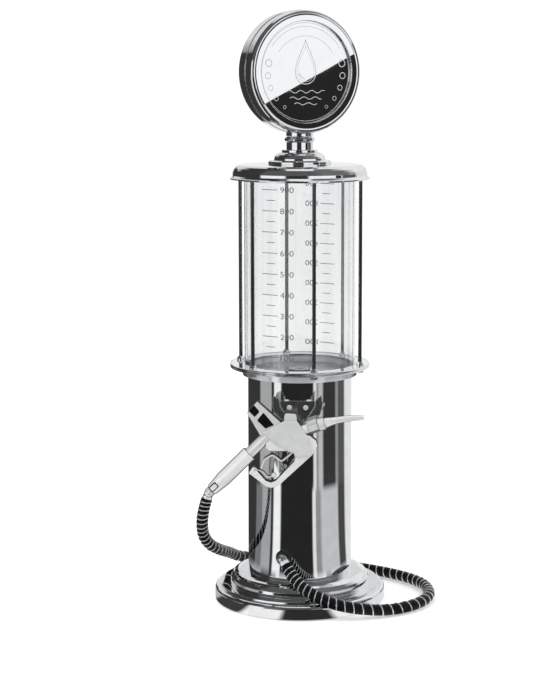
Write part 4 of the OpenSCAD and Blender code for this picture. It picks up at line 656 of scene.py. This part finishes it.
# Ticks that end on a radius, every third one long
def gaugeTree(material):
    tree, size = startTree("gaugeTicks", ["Outer", "Long", "Short", "From", "To", "Line"], ["Count"])
    index = addNode(tree, "GeometryNodeInputIndex")
    third = addNode(tree, "ShaderNodeMath", {0: index, 1: 3.0}, operation="MODULO")
    short = addNode(tree, "ShaderNodeMath", {0: third, 1: 1.0}, operation="MINIMUM")
    length = addNode(tree, "ShaderNodeMapRange", {
        "Value": short, "To Min": size["Long"], "To Max": size["Short"]})
    middle = addNode(tree, "ShaderNodeMath", {0: length, 1: -0.5, 2: size["Outer"]}, operation="MULTIPLY_ADD")
    seats, angle, _ = arcRow(tree, size, middle)
    bar = addNode(tree, "GeometryNodeMeshGrid", {
        "Size X": 1.0, "Size Y": 1.0, "Vertices X": 2, "Vertices Y": 2})
    turn = addNode(tree, "ShaderNodeCombineXYZ", {"Z": angle})
    stretch = addNode(tree, "ShaderNodeCombineXYZ", {"X": length, "Y": size["Line"], "Z": 1.0})
    ticks = addNode(tree, "GeometryNodeInstanceOnPoints", {
        "Points": seats, "Instance": bar, "Rotation": turn, "Scale": stretch})
    return endTree(tree, ticks, material, False)


def rimRing(name, half, sides=144):
    angles = [2 * pi * j / sides for j in range(sides)]
    loops = [[(r * mm * cos(a), r * mm * sin(a), height * mm) for r, height in signSet["rimProfile"]]
             for a in angles]
    piece = skinLoops(name, loops, finishes["mirrorSheet"])
    piece.data.transform(signFrame @ Matrix.Rotation(half, 4, "Y"))
    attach(piece, "sign")


def etchedFace(name, half):
    etched, width = finishes["etchedSheet"], signSet["line"]
    drawn = [ribbon(arcLine(0, signSet["rimRing"], 0, 360, 128), width * signSet["rimWidth"], True),
             ribbon(dropLine(1), width * signSet["dropWidth"], True),
             ribbon(dropLine(signSet["innerDrop"]), width * signSet["innerWidth"], True),
             ribbon(arcLine(signSet["dropMiddle"], *signSet["glint"]), width * signSet["glintWidth"])]
    drawn += [ribbon(arcLine(0, *arc), width * signSet["gaugeWidth"]) for arc in signSet["gaugeArcs"]]
    drawn += [ribbon(waveLine(*wave), width) for wave in signSet["waves"]]
    points, faces = [], []
    for linePoints, lineFaces in drawn:
        faces += [[i + len(points) for i in face] for face in lineFaces]
        points += [p.to_3d() for p in linePoints]
    pieces = [meshPiece(name + "Drawing", points, faces, etched, False)]
    pieces.append(grow(name + "Gauge", [(0, 0, 0)], gaugeTree(etched), signSet["gauge"]))
    first, last = signSet["bubbleAngles"]
    for word, start, end in (("Right", first, last), ("Left", 180 - first, 180 - last)):
        pieces.append(grow(name + "Bubbles" + word, [(0, 0, 0)], bubbleTree(etched),
                           {**signSet["bubbles"], "From": radians(start), "To": radians(end)}))
    place = signFrame @ Matrix.Rotation(half, 4, "Y") @ Matrix.Translation((0, 0, signSet["faceOut"]))
    for piece in pieces:
        if sum(p.normal.z for p in piece.data.polygons) < 0:
            piece.data.flip_normals()
        piece.data.transform(place)
        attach(piece, "sign")


for side, half in (("front", 0.0), ("rear", pi)):
    rimRing(side + "RimRing", half)
    etchedFace(side + "Face", half)
print("sign faces etched")


# Nozzle: its smooth spout, the flat on its grip and the valve's spring. Bare sizes are in millimetres.
nozzleSet = {
    "turn": 15, "reach": 56, "height": 150, "neck": (-26.316, 0, -6.293), "handleSlope": 45,
    "outlet": (8.987, 0, 2.9), "nutSlope": 20, "nutLength": 8.2, "ringSlope": 16, "ringLength": 5.4,
    "spoutLength": 31.5, "spoutBore": 2.6,
    "spoutDiameters": [(0, 8.8), (0.09, 7.6), (0.2, 6.3), (0.333, 5.4), (0.6, 4.8), (0.93, 4.1),
        (0.985, 3.9), (1, 3.5)],
    # plates let into the grip and the hook: corners in their plane, then the front and the back
    "gripRim": ([(-1.3, 51), (3.6, 51), (3.6, 58), (-1.3, 58)], -6.15, -1),
    "gripFlat": ([(-0.6, 51.7), (2.9, 51.7), (2.9, 57.3), (-0.6, 57.3)], -6.35, -1),
    "upperWindow": ([(-33.7, 22), (-29.2, 16.9), (-33, 12.4), (-37.6, 17.8)], -4.62, -4.3),
    "lowerWindow": ([(-26.1, 16.1), (-17.8, 6), (-25, 3.4), (-31.2, 10)], -4.62, -4.3),
    "plateRounding": 0.7, "plateEdge": 0.08, "flush": 1e-4,
    "valve": (-14.319, 0, -4.002), "springEnds": (1.75, 7.7), "springMarks": 20,
    "spring": {"Turns": 5, "Wound": 5.1 * mm, "Wire": 0.5 * mm, "Steps per Turn": 24, "Wire Sides": 8,
               "From": 0.04, "To": 0.96},
    # how far up the spring is after each share of its turns: its end curls lie closed
    "springPace": [(0, 0), (0.12, 0.03), (0.5, 0.5), (0.88, 0.97), (1, 1)]}
nozzleFrame = (Matrix.Rotation(radians(nozzleSet["turn"]), 4, "Z")
               @ Matrix.Translation(Vector((0, -nozzleSet["reach"], nozzleSet["height"])) * mm))
handleFrame = (nozzleFrame @ Matrix.Translation(Vector(nozzleSet["neck"]) * mm)
               @ Matrix.Rotation(radians(270 - nozzleSet["handleSlope"]), 4, "Y"))


# The spout's round wall along its easing slope, with its bore open at the tip
def spoutPiece(rings=40, sides=48):
    place = Vector(nozzleSet["outlet"])
    for part in ("nut", "ring"):
        slope = radians(nozzleSet[part + "Slope"])
        place += nozzleSet[part + "Length"] * Vector((cos(slope), 0, sin(slope)))
    wall = []
    for i in range(rings + 1):
        slope = radians(nozzleSet["ringSlope"] * (1 - i / rings))
        wall.append((place.copy(), slope, atShare(nozzleSet["spoutDiameters"], i / rings) / 2))
        place += nozzleSet["spoutLength"] / rings * Vector((cos(slope), 0, sin(slope)))
    wall += [(centre, slope, nozzleSet["spoutBore"] / 2) for centre, slope, radius in reversed(wall)]
    angles = [2 * pi * j / sides for j in range(sides)]
    loops = [[(centre + radius * Vector((-sin(slope) * cos(a), sin(a), cos(slope) * cos(a)))) * mm
              for a in angles] for centre, slope, radius in wall]
    piece = skinLoops("spoutTube", loops, finishes["nickelTube"])
    piece.data.transform(nozzleFrame)
    return piece


spoutTube = spoutPiece()
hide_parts("spout")
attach(spoutTube, "nozzle")


# A flat plate with rounded corners and a softened front edge, let into the surface behind it
def inlaidPlate(name, place, finish):
    corners, front, back = nozzleSet[name]
    work = bmesh.new()
    face = work.faces.new([work.verts.new((x, front, z)) for x, z in corners])
    pulled = bmesh.ops.extrude_face_region(work, geom=[face])["geom"]
    bmesh.ops.translate(work, vec=(0, back - front, 0),
                        verts=[v for v in pulled if isinstance(v, bmesh.types.BMVert)])
    upright = [e for e in work.edges if abs(e.verts[0].co.y - e.verts[1].co.y) > nozzleSet["flush"]]
    bmesh.ops.bevel(work, geom=upright, offset=nozzleSet["plateRounding"], segments=4, affect="EDGES",
                    profile=0.5)
    rim = [e for e in work.edges if all(abs(v.co.y - front) < nozzleSet["flush"] for v in e.verts)
           and len(e.link_faces) == 2]
    bmesh.ops.bevel(work, geom=rim, offset=nozzleSet["plateEdge"], segments=2, affect="EDGES", profile=0.5)
    bmesh.ops.scale(work, vec=(mm, mm, mm), verts=work.verts)
    bmesh.ops.recalc_face_normals(work, faces=work.faces)
    piece = meshPiece(name, [], [], finishes[finish])
    work.to_mesh(piece.data)
    work.free()
    piece.data.transform(place)
    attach(piece, "nozzle")


# A black rim under the grip's flat draws the dark outline round it
inlaidPlate("gripRim", handleFrame, "mouldedRubber")
inlaidPlate("gripFlat", handleFrame, "platedCasting")
# Painted shade: black plates fill the hook's window recesses so that they read dark
inlaidPlate("upperWindow", nozzleFrame, "paintedWindowShade")
inlaidPlate("lowerWindow", nozzleFrame, "paintedWindowShade")

springLine = evenly([nozzleFrame @ ((Vector(nozzleSet["valve"]) + Vector((0, 0, end))) * mm)
                     for end in nozzleSet["springEnds"]], nozzleSet["springMarks"])
valveSpring = grow("valveSpring", springLine, windingTree(finishes["springWire"], nozzleSet["springPace"]),
                   nozzleSet["spring"])
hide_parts("valve_spring")
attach(valveSpring, "nozzle")
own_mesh(valveSpring)
print("nozzle pieces made")


# Studio: a plain pale floor, soft light, and the pale and dark cards that the polished metal mirrors.
# Each card stands from one direction to the next, in degrees round the object from its front to the
# right, and has a tone; a card below the horizon lies on the floor.
studioSet = {
    "floorCards": [(-180, -146, 0.9), (-142, -80, 0.04), (-76, -47, 0.42), (-45, -41, 0.03),
        (-38.5, -25, 1.0), (-22, 45, 0.02), (48, 52, 0.8), (54, 57, 0.3), (59, 66, 0.55), (70, 99, 0.04),
        (102, 107, 0.3), (110, 128, 0.1), (134, 180, 0.85)],
    "nearCards": [(-180, -146, 0.9), (-142, -92, 0.04), (-88, -72, 0.2), (-68, -47, 0.42),
        (-45, -41, 0.03), (-38.5, -25, 1.0), (-22, 43, 0.02), (45, 50, 0.85), (52, 60, 0.3),
        (65, 105, 0.6), (109, 128, 0.07), (134, 180, 0.85)],
    "footCards": [(-180, -146, 0.9), (-142, -104, 0.3), (-98, -70, 0.5), (-64, -32, 0.05), (-27, 1, 1.0),
        (5, 40, 0.03), (46, 68, 1.0), (72, 78, 0.3), (84, 180, 0.85)],
    "wallCards": [(-180, -146, 0.9), (-140, -54, 0.04), (-50, -9, 1.0), (-5, 30, 0.03), (34, 90, 1.0),
        (96, 124, 0.1), (132, 180, 0.8)],
    "upperCards": [(-180, -125, 0.75), (-110, -60, 0.04), (-50, 40, 0.1), (60, 110, 0.16),
        (135, 180, 0.9)],
    "overhead": 0.9,
    # how far from the middle of the floor the foot and the near cards reach, and their blurred edge
    "footWithin": 0.122, "nearWithin": 0.44, "withinBlend": 0.03,
    # where the wall, the upper and the overhead cards begin, and their blurred edge, in degrees
    "heights": (-6.0, 14.0, 72.0), "heightBlend": 2.0,
    # a dark card whose edge rises across the sign's mirror
    "edgeMiddle": 75.0, "edgeHalf": 16.0, "edgeRise": 0.5556, "edgeLow": -39.6964, "edgeTop": 7.0,
    "edgeTone": 0.02, "ambient": 0.78, "backdrop": 1.08, "floor": "#f7f7f6", "floorRough": 0.9,
    "floorGloss": 0.1, "floorGlow": 0.36, "floorHalf": 4, "floorLow": 0.0003,
    # place, aim, size and watts
    "lamps": {"topLamp": ((-0.5, -0.7, 1.6), (0, 0, 0.2), 1.2, 10),
              "sideLamp": ((1.4, -0.6, 1.0), (0, 0, 0.25), 1.0, 6)}}


def greyTone(tone):
    return (tone, tone, tone, 1)


# Tone of the cards in the direction of a vector, that direction in degrees, and how far the vector rises
def cardTone(tree, vector, cardSets):
    parts = addNode(tree, "ShaderNodeSeparateXYZ", {0: vector}).outputs
    toFront = addNode(tree, "ShaderNodeMath", {0: parts["Y"], 1: -1.0}, operation="MULTIPLY")
    angle = addNode(tree, "ShaderNodeMath", {0: parts["X"], 1: toFront}, operation="ARCTAN2")
    direction = addNode(tree, "ShaderNodeMath", {0: angle}, operation="DEGREES")
    share = addNode(tree, "ShaderNodeMapRange", {"Value": direction, "From Min": -180.0, "From Max": 180.0})
    tones = []
    for cards in cardSets:
        tones.append(addNode(tree, "ShaderNodeValToRGB", {"Fac": share}))
        ramp = tones[-1].color_ramp
        stops = [(edge, tone) for start, end, tone in studioSet[cards] for edge in (start, end)]
        while len(ramp.elements) < len(stops):
            ramp.elements.new(0.5)
        for element, (edge, tone) in zip(ramp.elements, stops):
            element.position = edge / 360 + 0.5
            element.color = greyTone(tone)
    return tones, direction, parts["Z"]


# One tone after another as a value grows, each with a blurred edge where it begins
def toneSteps(tree, value, tone, steps, blur):
    for start, beyond in steps:
        share = addNode(tree, "ShaderNodeMapRange", {
            "Value": value, "From Min": start, "From Max": start + blur})
        tone = addNode(tree, "ShaderNodeMix", {0: share, 6: tone, 7: beyond}, data_type="RGBA").outputs[2]
    return tone


# What the eye sees, what polished metal mirrors and what lights a matt surface, by the kind of ray
def byRay(tree, shown, mirrored, lighting):
    path = addNode(tree, "ShaderNodeLightPath").outputs
    seen = addNode(tree, "ShaderNodeMath", {
        0: path["Is Camera Ray"], 1: path["Is Transmission Ray"]}, operation="MAXIMUM")
    first = addNode(tree, "ShaderNodeMixShader", {0: path["Is Glossy Ray"], 1: lighting, 2: mirrored})
    return addNode(tree, "ShaderNodeMixShader", {0: seen, 1: first, 2: shown})


def paintWorld():
    world = bpy.data.worlds.new("studio")
    bpy.context.scene.world = world
    world.use_nodes = True
    tree = world.node_tree
    tree.nodes.clear()
    view = addNode(tree, "ShaderNodeTexCoord").outputs["Generated"]
    tones, direction, up = cardTone(tree, view, ("floorCards", "wallCards", "upperCards"))
    rise = addNode(tree, "ShaderNodeMath", {0: up}, operation="ARCSINE")
    height = addNode(tree, "ShaderNodeMath", {0: rise}, operation="DEGREES")
    slope = addNode(tree, "ShaderNodeMath", {
        0: direction, 1: studioSet["edgeRise"], 2: studioSet["edgeLow"]}, operation="MULTIPLY_ADD")
    edge = addNode(tree, "ShaderNodeMath", {0: slope, 1: studioSet["edgeTop"]}, operation="MINIMUM")
    under = addNode(tree, "ShaderNodeMath", {0: height, 1: edge}, operation="LESS_THAN")
    near = addNode(tree, "ShaderNodeMath", {
        0: direction, 1: studioSet["edgeMiddle"], 2: studioSet["edgeHalf"]}, operation="COMPARE")
    shade = addNode(tree, "ShaderNodeMath", {0: under, 1: near}, operation="MULTIPLY")
    wall = addNode(tree, "ShaderNodeMix", {
        0: shade, 6: tones[1], 7: greyTone(studioSet["edgeTone"])}, data_type="RGBA").outputs[2]
    above = zip(studioSet["heights"], (wall, tones[2], greyTone(studioSet["overhead"])))
    tone = toneSteps(tree, height, tones[0], above, studioSet["heightBlend"])
    lights = [addNode(tree, "ShaderNodeBackground", {"Color": colour, "Strength": strength})
              for colour, strength in ((greyTone(1), studioSet["backdrop"]), (tone, 1.0),
                                       (greyTone(1), studioSet["ambient"]))]
    addNode(tree, "ShaderNodeOutputWorld", {"Surface": byRay(tree, *lights)})


# Matt painted board: plain and pale, it takes the soft shadow, and away from it reaches white
def paintFloor():
    material = bpy.data.materials.new("mattPaintedBoard")
    material.use_nodes = True
    tree = material.node_tree
    board = tree.nodes["Principled BSDF"]
    board.inputs["Base Color"].default_value = linear(studioSet["floor"])
    board.inputs["Roughness"].default_value = studioSet["floorRough"]
    board.inputs["Specular IOR Level"].default_value = studioSet["floorGloss"]
    glow = addNode(tree, "ShaderNodeEmission", {"Color": greyTone(1), "Strength": studioSet["floorGlow"]})
    lit = addNode(tree, "ShaderNodeAddShader", {0: board, 1: glow})
    spot = addNode(tree, "ShaderNodeTexCoord").outputs["Object"]
    tones = cardTone(tree, spot, ("footCards", "nearCards", "floorCards"))[0]
    reach = addNode(tree, "ShaderNodeVectorMath", {0: spot}, operation="LENGTH").outputs["Value"]
    beyond = zip((studioSet["footWithin"], studioSet["nearWithin"]), tones[1:])
    tone = toneSteps(tree, reach, tones[0], beyond, studioSet["withinBlend"])
    mirrored = addNode(tree, "ShaderNodeEmission", {"Color": tone, "Strength": 1.0})
    tree.links.new(byRay(tree, lit, mirrored, board).outputs[0],
                   tree.nodes["Material Output"].inputs["Surface"])
    half = studioSet["floorHalf"]
    floor = meshPiece("floor", [(-half, -half, 0), (half, -half, 0), (half, half, 0), (-half, half, 0)],
                      [(0, 1, 2, 3)], material, False)
    floor.location = (0, 0, -studioSet["floorLow"])


def softLamp(name, place, aim, size, watts):
    data = bpy.data.lights.new(name, "AREA")
    data.shape = "DISK"
    data.size = size
    data.energy = watts
    lamp = putObject(name, data)
    lamp.location = place
    lamp.rotation_euler = (Vector(aim) - Vector(place)).to_track_quat("-Z", "Y").to_euler()
    lamp.visible_glossy = False   # the metal mirrors the cards alone


paintWorld()
paintFloor()
for name, settings in studioSet["lamps"].items():
    softLamp(name, *settings)
print("studio lit")
